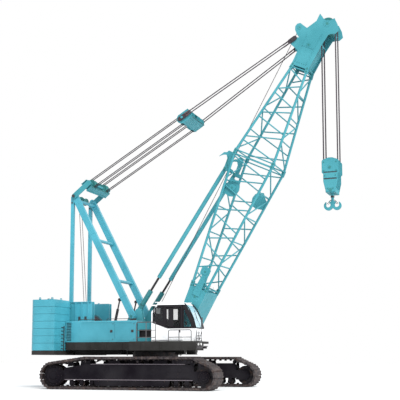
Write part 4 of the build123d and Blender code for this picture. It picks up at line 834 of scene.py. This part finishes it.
def make_counterweights():
    dark, teal, lamps = pieces(3)
    for hand in HANDS:
        # rungs and their rail up the front face
        for i in range(7):
            z = 1.78 + i * 0.16
            dark.box((-3.808, -3.775), span(hand, 1.84, 2.08), (z, z + 0.026))
        dark.box((-3.808, -3.77), span(hand, 1.815, 1.84), (1.70, 2.82))
        # lifting eyes and the heads of the tie rods on top
        for x in (-4.75, -4.12):
            for y in (1.55, 2.38):
                teal.box(about(x, 0.05), about(hand * y, 0.018), (STACK_TOP, STACK_TOP + 0.05))
                teal.ring(at(x, hand * y, STACK_TOP + 0.075), Y_AXIS, 0.05, 0.026, 0.036, 20)
        for y in (1.97, 2.2):
            dark.stud(at(-4.43, hand * y, STACK_TOP), Z_AXIS * 0.03, 0.07, 6)
            dark.stud(at(-4.43, hand * y, STACK_TOP + 0.03), Z_AXIS * 0.04, 0.03, 12)
        # lugs on the outer side, one pair to a slab
        for i in range(7):
            for x in (-4.72, -4.1):
                teal.box(about(x, 0.06), proud(hand, STACK_OUT, 0.006),
                         about(1.85 + 0.33 * i, 0.05))
    # tail lamps on the tray
    for y in (-2.3, -2.12, 2.12, 2.3):
        lamps.stud(at(-5.055, y, 1.595), X_AXIS * -0.02, 0.05, 20)
    settle("upper", (dark, "counterweight_steps", "dark", 0.004),
           (teal, "counterweight_eyes", "teal_paint", 0.003),
           (lamps, "tail_lamps", "lamp_red", 0.003))


make_counterweights()


# ------------ tower, mast, winches
TOWER_FACE, FOOT_FACE = 1.055, 1.085
WINCHES = ((-2.15, 2.56, 0.308), (-1.33, 2.56, 0.300), (-3.33, 3.06, 0.300))   # and rope's radius
DRUM_HALF, DRUM_R = 0.34, 0.268


def make_upper_works():
    ribs, dark, bolts, wound = pieces(4)
    for hand, out in OUTWARD:
        # stiffeners and doubler plates on the tower's outer cheeks
        y = proud(hand, TOWER_FACE, 0.05)
        for x in (-3.62, -3.30, -2.98):
            ribs.box((x, x + 0.05), y, (3.05, 3.93))
        ribs.box((-4.15, -2.80), y, (3.93, 3.97))
        for x in (-3.47, -3.15):
            dark.box((x, x + 0.11), proud(hand, TOWER_FACE, 0.012), (3.12, 3.28))
        ribs.stud(at(LINK_X, hand * TOWER_FACE, 3.8), out * 0.03, 0.13, 28)
        bolts.bolts(at(LINK_X, hand * (TOWER_FACE + 0.03), 3.8), out, 0.10, 6, 0.012, 0.012)
        # doubler, keeper and pin of the gantry's feet
        foot = at(MAST_FOOT_X, hand * FOOT_FACE, MAST_FOOT_Z)
        ribs.stud(foot, out * 0.02, 0.14, 32)
        dark.box((-0.78, -0.50), proud(hand, FOOT_FACE, 0.02), (3.03, 3.15))
        bolts.stud(foot + out * 0.02, out * 0.03, 0.055, 20)
        bolts.bolts(foot + out * 0.02, out, 0.11, 6, 0.012, 0.012)
        for x, z in ((-1.12, 2.5), (-0.945, 2.85)):
            ribs.box((x, -0.38), proud(hand, FOOT_FACE, 0.03), (z, z + 0.035))
        # hoses up to the raising cylinders
        dark.tube([(-1.60, hand * 1.0, 2.14), (-1.57, hand * 1.02, 2.5),
                   (-1.60, hand * 1.02, 2.8), (-1.52, hand * 1.0, 3.1)], 0.016)
    # rope lying on the drums, and the bolts of their flanges
    for x, z, radius in WINCHES:
        turns = int(DRUM_HALF * 2 / 0.030)
        for i in range(turns):
            y = -DRUM_HALF + 0.015 + i * 2 * DRUM_HALF / turns
            wound.ring(at(x, y, z), Y_AXIS, radius, DRUM_R, 0.026, 28)
        for hand in HANDS:
            bolts.bolts(at(x, hand * 0.42, z), Y_AXIS * hand, 0.25, 10, 0.014, 0.014)
    settle("upper", (ribs, "tower_ribs", "teal_paint", 0.004),
           (dark, "upper_fittings", "dark", 0.003), (bolts, "upper_bolts", "boom_deep"),
           (wound, "drum_rope", "rope_wire"))


make_upper_works()


# ------------ cab
CAB_OUT_Y, CAB_IN_Y, CAB_MID_Y = -2.05, -0.95, -1.5
SCREEN = ((2.18, 3.745), (2.40, 3.50), (2.60, 3.08), (2.715, 2.66))
MIRROR = at(3.13, -2.38, 2.86)


def gasket(piece, corners, y, width=0.035):
    """Rubber frame along the edges of a window in a side wall."""
    for (x0, z0), (x1, z1) in zip(corners, corners[1:] + corners[:1]):
        run = at(x1, y, z1) - at(x0, y, z0)
        along = run.normalized()
        piece.slab(at((x0 + x1) / 2, y, (z0 + z1) / 2), run / 2 + along * width / 2,
                   Y_AXIS.cross(along) * width / 2, Y_AXIS * 0.0015)


def window(x, z):
    return [(x[0], z[0]), (x[1], z[0]), (x[1], z[1]), (x[0], z[1])]


def make_cab():
    trim, inner, light = pieces(3)
    gasket(trim, window((0.74, 1.22), (2.96, 3.56)), CAB_OUT_Y - 0.002)
    gasket(trim, [(2.165, 2.69), (2.60, 2.69), (2.50, 2.88), (2.21, 3.46), (2.165, 3.46)],
           CAB_OUT_Y - 0.002)
    gasket(trim, window((0.77, 2.12), (2.74, 3.56)), CAB_IN_Y + 0.002)
    inner.boxes(
        # posts and dark panels behind the side windows and along the far wall
        ((1.06, 1.24), (-2.03, -1.98), (2.80, 3.60)),
        ((0.80, 0.84), (-2.03, -2.00), (2.96, 3.56)),
        ((0.74, 1.22), (-2.034, -2.01), (3.26, 3.30)),
        ((0.76, 1.20), (-2.034, -2.02), (2.97, 3.27)),
        ((1.04, 1.26), (-1.035, -0.99), (2.74, 3.56)),
        ((1.50, 1.60), (-1.035, -0.99), (2.74, 3.56)),
        ((0.80, 1.50), (-1.035, -0.99), (2.74, 3.06)),
        # roof lining and floor mat
        ((0.75, 2.10), (-1.98, -1.02), (3.70, 3.73)),
        ((0.85, 2.45), (-1.95, -1.05), (2.14, 2.16)))
    # two consoles with their levers
    for y in (-1.84, -1.16):
        inner.boxes(((1.22, 1.78), about(y, 0.08), (2.45, 2.72)),
                    ((1.30, 1.62), about(y, 0.065), (2.16, 2.45)))
        inner.tube([(1.68, y, 2.70), (1.69, y, 2.80), (1.72, y, 2.88)], 0.013)
        inner.rod(at(1.715, y, 2.86), at(1.735, y, 2.95), 0.028, 12, 0.022)
    # dash below the windscreen, with a display beside it
    inner.plate([(2.15, 2.16), (2.45, 2.16), (2.56, 2.62), (2.40, 2.72), (2.22, 2.66)],
                CAB_MID_Y, 0.6)
    inner.slab(at(2.20, -1.86, 2.86), Vector((0.015, 0.02, 0)), Vector((-0.07, 0.11, 0)),
               Z_AXIS * 0.08)
    # edges of the windscreen, and its wiper's arm and blade
    for y in (-2.0, -1.0):
        for (x0, z0), (x1, z1) in zip(SCREEN, SCREEN[1:]):
            trim.rod(at(x0 + 0.012, y, z0), at(x1 + 0.012, y, z1), 0.02, 8)
    trim.rod(at(2.745, -1.9, 2.66), at(2.745, -1.1, 2.66), 0.02, 8)
    trim.tube([(2.76, -1.5, 2.66), (2.71, -1.56, 2.88), (2.61, -1.66, 3.14)], 0.009)
    trim.tube([(2.70, -1.72, 2.98), (2.62, -1.65, 3.16), (2.49, -1.58, 3.42)], 0.013, 6)
    # roof edges, hatch on its seal, and two round caps
    light.boxes(((0.80, 2.14), (-2.03, -1.985), (3.78, 3.812)),
                ((0.80, 2.14), (-1.015, -0.97), (3.78, 3.812)),
                ((1.15, 1.75), (-1.78, -1.22), (3.79, 3.825)))
    trim.box((1.13, 1.77), (-1.80, -1.20), (3.79, 3.806))
    for y in (-1.95, -1.05):
        trim.stud(at(0.95, y, 3.80), Z_AXIS * 0.04, 0.035, 14)
    settle("upper", (trim, "cab_gaskets", "black", 0.001),
           (inner, "cab_fittings", "black", 0.006), (light, "cab_roof_trim", "white", 0.008))

    # the door: its pane, and the sash with a gasket, a lock and a bow handle
    pane, sash = pieces(2)
    pane.box((1.36, 2.04), (-2.083, -2.077), (2.67, 3.56))
    sash.box((1.50, 1.70), (-2.100, -2.062), (2.68, 3.55))
    gasket(sash, window((1.375, 2.025), (2.685, 3.545)), -2.0985, 0.05)
    sash.box((1.96, 2.04), (-2.106, -2.099), (2.46, 2.58))
    sash.tube([(1.99, -2.099, 2.30), (1.99, -2.135, 2.31), (1.99, -2.135, 2.42),
               (1.99, -2.099, 2.43)], 0.012)
    settle("cab_door", (pane, "door_pane", "glass"), (sash, "door_sash", "black", 0.002))

    # mirror on its arm, the small guard ahead of the cab, and a step below
    mirror, post, face = pieces(3)
    post.tube([(2.86, -2.44, 1.95), (3.02, -2.40, 2.00), (3.10, -2.36, 2.12),
               (3.12, -2.34, 2.60), (3.12, -2.34, 3.08)], 0.016)
    post.tube([(2.88, -2.10, 2.00), (3.00, -2.20, 2.30), (3.12, -2.33, 2.56)], 0.012)
    for x in (2.76, 2.87):
        for y in (-2.03, -1.70):
            post.tube([(x, y, 2.08), (x, y, 2.56 - (x - 2.76))], 0.014)
    for z in (2.20, 2.32, 2.44):
        post.tube([(2.76, -2.03, z), (2.87, -2.03, z)], 0.012)
        post.tube([(2.87, -2.03, z), (2.87, -1.70, z)], 0.012)
    post.box((2.90, 3.19), (-2.46, -1.75), (1.845, 1.88))
    for y in (-2.42, -1.85):
        post.box((2.90, 3.17), about(y, 0.015), (1.76, 1.845))
    mirror.slab(MIRROR, Vector((0.018, 0.02, 0)), Vector((-0.05, 0.09, 0)), Z_AXIS * 0.22)
    face.slab(MIRROR + Vector((-0.0125, -0.0139, 0)) * 1.15, Vector((0.002, 0.0022, 0)),
              Vector((-0.044, 0.079, 0)), Z_AXIS * 0.20)
    settle("upper", (post, "cab_guard_and_step", "rail_paint", 0.003),
           (mirror, "mirror_shell", "dark", 0.012), (face, "mirror_glass", "mirror"))


make_cab()


def make_seat():
    """Sprung seat: crowned cushion and back, with seams, on a bellows."""
    for name, middle, size, lean in (
            ("seat_cushion", (1.42, 2.57), (0.22, 0.235, 0.065), 0.03),
            ("seat_back", (1.12, 2.86), (0.055, 0.215, 0.25), -0.05)):
        mesh = bmesh.new()
        bmesh.ops.create_cube(mesh, size=2.0)
        bmesh.ops.subdivide_edges(mesh, edges=mesh.edges[:], cuts=11, use_grid_fill=True)
        thin = size.index(min(size))
        for vert in mesh.verts:
            p = vert.co.copy()
            flat = [p[axis] for axis in range(3) if axis != thin]
            round_off = 1 - 0.10 * (flat[0] ** 4 + flat[1] ** 4) / 2
            crown = 1 - 0.42 * max(abs(f) for f in flat) ** 5
            seam = min(abs(abs(flat[1 if thin == 2 else 0]) - 0.55),
                       abs(flat[1] - 0.1) if thin == 0 else 1)
            crown -= 0.10 * math.exp(-(seam / 0.05) ** 2)
            for axis in range(3):
                p[axis] *= size[axis] * (crown if axis == thin else round_off)
            vert.co = Matrix.Rotation(lean, 3, "Y") @ p + at(middle[0], CAB_MID_Y, middle[1])
        data = bpy.data.meshes.new(name)
        mesh.to_mesh(data)
        mesh.free()
        data.shade_smooth()
        cushion = add(name, data)
        data.materials.append(PAINTS["seat_fabric"].material)
        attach(cushion, "upper")
    base = Piece()
    base.box((1.24, 1.60), about(CAB_MID_Y, 0.20), (2.46, 2.495))
    for i in range(5):
        half = 0.13 if i % 2 else 0.15
        base.box(about(1.42, half), about(CAB_MID_Y, half), (2.24 + i * 0.044, 2.28 + i * 0.044))
    base.box((1.22, 1.62), about(CAB_MID_Y, 0.17), (2.16, 2.24))
    for y in about(CAB_MID_Y, 0.235):
        base.tube([(1.13, y, 2.70), (1.30, y, 2.71), (1.42, y, 2.71)], 0.022)
    base.box((1.10, 1.14), about(CAB_MID_Y, 0.05), (2.47, 2.66))
    stand = base.done("upper", "seat_suspension", "black", 0.006)
    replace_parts(stand, "cab_seat")


make_seat()


# ------------ boom
FLANK = 0.803               # half width of the plated foot, outside


def make_boom():
    lugs, pins, dark, deep = pieces(4)
    # forked joints of the chords, with their pins
    for s in (2.58, 8.8, 13.36):
        for front, hand in ((False, -1), (False, 1), (True, -1), (True, 1)):
            low, high = chord(s - 0.14, front, hand), chord(s + 0.14, front, hand)
            run = (high - low).normalized()
            middle = (low + high) / 2
            for side in HANDS:
                lugs.slab(middle + Y_AXIS * side * 0.052, run * 0.15,
                          Y_AXIS.cross(run).normalized() * 0.075, Y_AXIS * 0.014)
                spot = middle + run * side * 0.07
                pins.pin(spot, Y_AXIS * 0.085, 0.032, 14)
                pins.ring(spot - Y_AXIS * 0.07, Y_AXIS, 0.046, 0.03, 0.012, 16)
    for hand, out in OUTWARD:
        # boom foot: doublers and pins at the hinge, doublers and bolts on its plated part
        for y in (0.6, 0.815):
            lugs.ring(at(FOOT_X, hand * y, FOOT_Z), out, 0.15, 0.075, 0.016, 36)
        pins.stud(at(FOOT_X, hand * 0.815, FOOT_Z), out * 0.02, 0.05, 20)
        for s0, s1, m in ((1.08, 1.72, 0.2748), (1.78, 2.42, 0.3168)):
            lugs.plate([(s0, -m), (s1, -m - 0.03), (s1, m + 0.03), (s0, m)], hand * FLANK, 0.01,
                       on_boom)
        pins.bolts(on_boom(2.45, 0, hand * 0.8), out, 0.24, 10, 0.016, 0.016)
        # backstop eyes: pin heads on the ears, and a hose behind them
        for y in (0.615, 0.785):
            pins.pin(on_boom(7.92, -1.148, hand * y), Y_AXIS * 0.035, 0.05, 18)
        dark.tube([(8.0, -1.04, hand * 0.80), (8.2, -1.16, hand * 0.81), (8.5, -1.20, hand * 0.80)],
                  0.018, 8, on_boom)
        # pads on the pendant rests
        rest = on_boom(7.24, hand * 0.43, hand * 0.83)
        deep.pin(rest, out * -0.03, 0.16, 28)
        pins.pin(rest, out * -0.04, 0.035, 16)
    for s in (1.2, 2.05):
        dark.plate([(s, -0.045), (s + 0.22, -0.045), (s + 0.22, 0.045), (s, 0.045)], -0.825, 0.02,
                   on_boom)
    # roller between the cheeks of the wide plate on the right side
    deep.rod(on_boom(3.3, 0.0, -0.86), on_boom(3.3, 0.0, -0.80), 0.15, 30)
    pins.rod(on_boom(3.3, 0.0, -0.875), on_boom(3.3, 0.0, -0.79), 0.04, 16)
    settle("boom", (lugs, "chord_joints", "boom", 0.003), (pins, "boom_pins", "boom_deep"),
           (dark, "boom_fittings", "boom_deep", 0.003), (deep, "boom_roller", "boom", 0.004))


make_boom()


CHEEK = 0.5                 # half width of the boom's head, outside


def make_head():
    dark, pins, edge = pieces(3)
    # plates and cross tubes between the cheeks
    for points in (((13.52, 0.40), (14.72, 0.56), (14.72, 0.59), (13.52, 0.43)),
                   ((14.86, -0.60), (14.96, -0.74), (15.0, -0.70), (14.9, -0.56)),
                   ((15.14, -0.22), (15.48, 0.0), (15.46, 0.03), (15.12, -0.19))):
        dark.plate(points, 0, 0.92, on_boom)
    for s, m, radius, sides in ((15.3, 0.92, 0.045, 20), (15.84, 0.70, 0.03, 16),
                                (15.84, 0.10, 0.03, 16)):
        dark.pin(on_boom(s, m), Y_AXIS * 0.46, radius, sides)
    for hand, out in OUTWARD:
        for (s, m), radius in ((SHEAVES_AT, 0.16), (GUIDE_AT, 0.10), (PENDANT_AT, 0.12),
                               ((14.45, 0.08), 0.10)):
            place = on_boom(s, m, hand * CHEEK)
            if (s, m) != PENDANT_AT:
                edge.stud(place, out * 0.010, radius, 32)
                pins.bolts(place + out * 0.008, out, radius * 0.72, 8, 0.011, 0.010)
            pins.stud(place, out * 0.012, radius * 0.42, 20)
        # stiffening strips on the cheeks, and the bolts at their lower end
        for points in (((13.6, -0.22), (14.9, -0.18), (14.9, -0.15), (13.6, -0.19)),
                       ((13.6, 0.33), (15.1, 0.45), (15.1, 0.48), (13.6, 0.36)),
                       ((14.32, -0.19), (14.35, -0.19), (14.35, 0.36), (14.32, 0.36))):
            edge.plate(points, hand * (CHEEK + 0.005), 0.012, on_boom)
        for step in range(6):
            pins.stud(on_boom(13.56, -0.20 + step * 0.11, hand * CHEEK), out * 0.012, 0.016, 6)
    settle("boom", (dark, "head_plates", "boom", 0.003), (pins, "head_bolts", "boom_deep"),
           (edge, "head_doublers", "boom", 0.002))


make_head()


# ------------ gantry and ropes
def make_gantry():
    ribs, pins = pieces(2)
    foot = at(MAST_FOOT_X, 0, MAST_FOOT_Z)
    run = GANTRY - foot
    ahead = run.normalized()
    across = risen(ahead)
    for hand, out in OUTWARD:
        for y in (0.815, 1.025):
            ribs.ring(GANTRY + out * y, out, 0.12, 0.057, 0.014, 32)
        pins.stud(GANTRY + out * 1.125, out * 0.025, 0.075, 24)
        pins.bolts(GANTRY + out * 1.148, out, 0.05, 6, 0.009, 0.008)
        # weld strips round the legs
        for share in (0.16, 0.42, 0.68, 0.94):
            ribs.slab(foot + run * share + out * LEG_Y, ahead * 0.02, across * 0.157,
                      Y_AXIS * 0.097)
        # pins at both ends of the rear links
        for z in (3.8, 8.7):
            place = at(LINK_X, hand * LEG_Y, z)
            pins.pin(place, Y_AXIS * 0.105, 0.04, 16)
            ribs.ring(place + out * 0.083, out, 0.072, 0.038, 0.014, 24)
        # pin heads at the raising cylinders' feet
        pins.stud(at(-1.65, hand * 0.985, 2.955), out * 0.015, 0.04, 16)
    settle("upper", (ribs, "gantry_doublers", "teal_paint", 0.003),
           (pins, "gantry_pins", "dark"))


def make_tackle():
    for name, body, middle, along, reach, half in (
            ("spreader", "luffing_tackle", TACKLE, (TACKLE - GANTRY).normalized(), (-0.33, 0.0),
             1.025),
            ("bridle", "bridle", BRIDLE, LINE, (-0.12, 0.42), 0.845)):
        edge, dark, pins = pieces(3)
        up = risen(along)
        for side in HANDS:
            face = middle + up * side * 0.227
            # bolts of the cover plates, and an edge at each of their ends
            for y in (-0.64, 0.64):
                for share in (0.25, 0.75):
                    for dy in (-0.14, 0.0, 0.14):
                        pins.stud(face + along * (reach[0] + (reach[1] - reach[0]) * share)
                                  + Y_AXIS * (y + dy), up * side * 0.014, 0.014, 6)
            edge.slab(face + along * (reach[0] + 0.02), along * 0.02, Y_AXIS * half, up * 0.016)
            dark.slab(face + along * (reach[1] - 0.02) - up * side * 0.02, along * 0.022,
                      Y_AXIS * (half - 0.02), up * 0.02)
            for y in (0.41, 0.87):
                dark.stud(middle + Y_AXIS * side * y, Y_AXIS * side * 0.02, 0.10, 28)
        dark.pin(middle + along * 0.10 + up * 0.10, Y_AXIS * 0.40, 0.03, 12)
        settle(body, (edge, f"{name}_edges", "boom", 0.003),
               (dark, f"{name}_dark_edges", "boom_deep", 0.003),
               (pins, f"{name}_bolts", "boom_deep"))
    # sockets and pins of the pendants: thinner ones at the boom's head
    sockets, links = pieces(2)
    for hand in HANDS:
        for pin, y, way, thick, inner in ((BRIDLE, 0.93, LINE, 0.052, 0.045),
                                          (PENDANT_PIN, 0.545, -LINE, 0.034, 0.028)):
            centre = pin + Y_AXIS * hand * y
            for up in (-0.055, 0.055):
                sockets.stud(centre + way * 0.20 + LINE_UP * up, way * 0.30, thick, 18, 0.026)
            links.rod(centre - Y_AXIS * hand * inner, centre + Y_AXIS * hand * 0.045, 0.062, 20)
    settle("bridle", (sockets, "pendant_sockets", "red", 0.002), (links, "pendant_pins", "dark"))


def make_ropes():
    luffing, falls = pieces(2)
    for hand in HANDS:
        for y in (0.54, 0.58, 0.70, 0.74):
            for turn in (-1, 1):
                off = LINE_UP * turn * 0.186 + Y_AXIS * hand * y
                rope(luffing, TACKLE + off + LINE * 0.02, BRIDLE + off - LINE * 0.02)
        for y in (0.182, 0.218, 0.312, 0.348):
            for turn in (-1, 1):
                place = Vector((HEAD_SHEAVE.x + turn * 0.3117, hand * y, 0))
                rope(falls, place + Z_AXIS * BLOCK_Z, place + Z_AXIS * HEAD_SHEAVE.z)
    made = luffing.done(None, "luffing_rope_parts", "rope_wire")
    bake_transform(made)
    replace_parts(made, "luffing_ropes")
    made = falls.done(None, "hoist_rope_parts", "rope_wire")
    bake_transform(made)
    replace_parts(made, "hoist_falls")


def roller(middle, face, axle, rim):
    """Roller with a rim at each end: (half length, radius, sides) of its face and its axle."""
    made = Piece()
    for half, radius, sides in (face, axle):
        made.pin(middle, Y_AXIS * half, radius, sides)
    for y in HANDS:
        made.ring(middle + Y_AXIS * y * rim[0], Y_AXIS, rim[1], rim[2], 0.02, face[2])
    return made


def make_hoist_ropes():
    """Rope from the main drum up the boom's rear to the head, and the boom hoist's two parts."""
    line, lead, over, pair = pieces(4)
    top = on_boom(*GUIDE_AT) - BOOM_FRONT * 0.19
    guide = at(-0.26, 0, 2.72)
    low = guide + Vector((-0.04, 0, 0.115))
    rope(line, low, top)
    made = line.done(None, "hoist_rope", "rope_wire")
    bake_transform(made)
    rope(lead, at(-1.30, 0, 2.86), low)
    rope(over, top, HEAD_SHEAVE - BOOM_FRONT * 0.322 + BOOM_AXIS * 0.05)
    for y in (-0.12, 0.12):
        rope(pair, at(-3.60, y, 3.06), at(-4.02, y, 8.86), 0.013)
    low_roller = roller(guide, (0.30, 0.105, 28), (0.83, 0.035, 16), (0.31, 0.14, 0.035))
    high_roller = roller(at(-3.86, 0, 8.93), (0.24, 0.145, 30), (0.80, 0.04, 14),
                         (0.24, 0.18, 0.05))
    settle("upper", (lead, "hoist_rope_lead", "rope_wire"),
           (low_roller, "hoist_rope_guide", "boom_deep", 0.003))
    settle("boom", (over, "head_rope", "rope_wire"))
    settle("upper", (pair, "boom_hoist_ropes", "rope_wire"),
           (high_roller, "gantry_roller", "boom_deep", 0.002))


make_gantry()
make_tackle()
make_ropes()
make_hoist_ropes()


# ------------ hook block
BLOCK_FACE = 0.455


def make_hook_block():
    bands, pins, dark, latch, nut = pieces(5)
    for hand, out in OUTWARD:
        hub = at(HOOK_X, hand * BLOCK_FACE, BLOCK_Z)
        dark.stud(hub, out * 0.012, 0.095, 32)
        pins.stud(hub + out * 0.016, out * 0.02, 0.055, 6)
        for x, z in ((0.27, 9.88), (0.27, 9.5), (0.24, 9.28), (0.12, 8.70)):
            for end in about(HOOK_X, x):
                pins.stud(at(end, hand * BLOCK_FACE, z), out * 0.02, 0.026, 6)
        # dark bands where the courses of weights meet
        for z in (9.42, 9.14):
            bands.box(about(HOOK_X, 0.285), span(hand, 0.425, 0.44), about(z, 0.02))
        pins.stud(at(HOOK_X, hand * (BLOCK_FACE - 0.03), 8.64), out * 0.042, 0.07, 24)
    # rope guards over the sheaves
    for x in about(HOOK_X, 0.31):
        dark.pin(at(x, 0, 9.93), Y_AXIS * 0.42, 0.018, 12)
    settle("hook_block", (bands, "block_bands", "dark"), (pins, "block_bolts", "boom_deep"),
           (dark, "block_guards", "boom", 0.003))
    # nut and spring latches of the double hook
    nut.ring(at(HOOK_X, 0, 8.40), Z_AXIS, 0.085, 0.055, 0.07, 28)
    for turn in (-1, 1):
        for y, points, radius in (
                ((0, 0, 0), ((0.07, 8.26), (0.13, 8.22), (0.24, 8.09)), 0.013),
                ((0.03, 0.03, 0.02), ((0.07, 8.20), (0.10, 8.16), (0.20, 8.07)), 0.010)):
            latch.tube([(HOOK_X + turn * x, side, z) for (x, z), side in zip(points, y)], radius)
    settle("hook", (nut, "hook_collar", "dark", 0.004), (latch, "hook_latches", "dark"))


make_hook_block()


# ------------ stage, lights
def make_stage():
    mesh = bpy.data.meshes.new("floor")
    corners = [(x * 150, y * 150, 0) for x, y in ((-1, -1), (1, -1), (1, 1), (-1, 1))]
    mesh.from_pydata(corners, [], [(0, 1, 2, 3)])
    shader = Shader("pale_floor")
    shader.set(Base_Color=(0.86, 0.86, 0.86), Roughness=0.95)
    mesh.materials.append(shader.material)
    add("floor", mesh)


def lamp(name, place, aim, energy, size, colour=(1, 1, 1)):
    data = bpy.data.lights.new(name, "SUN")
    data.energy, data.color, data.angle = energy, colour, size
    made = add(name, data)
    made.location = place
    made.rotation_euler = (Vector(aim) - Vector(place)).to_track_quat("-Z", "Y").to_euler()


def make_world():
    """White where it is seen, a cool grey where it only lights."""
    world = bpy.data.worlds.new("studio")
    scene.world = world
    world.use_nodes = True
    sky = Nodes(world.node_tree, "Background")
    path = sky.node("ShaderNodeLightPath")
    shown = path["Is Camera Ray"]
    for ray in ("Is Glossy Ray", "Is Transmission Ray"):
        shown = sky.math("MAXIMUM", shown, path[ray])
    sky.set(Color=sky.mix(shown, (0.80, 0.84, 0.88), (1, 1, 1)), Strength=1.0)


make_stage()
make_world()
lamp("key", (14, -22, 30), (-2, 0, 4), 2.35, 0.35, (1, 0.98, 0.95))
lamp("fill", (30, -9, 9), (-2, 0, 5), 2.5, 0.8)
scene.view_settings.view_transform = "Standard"
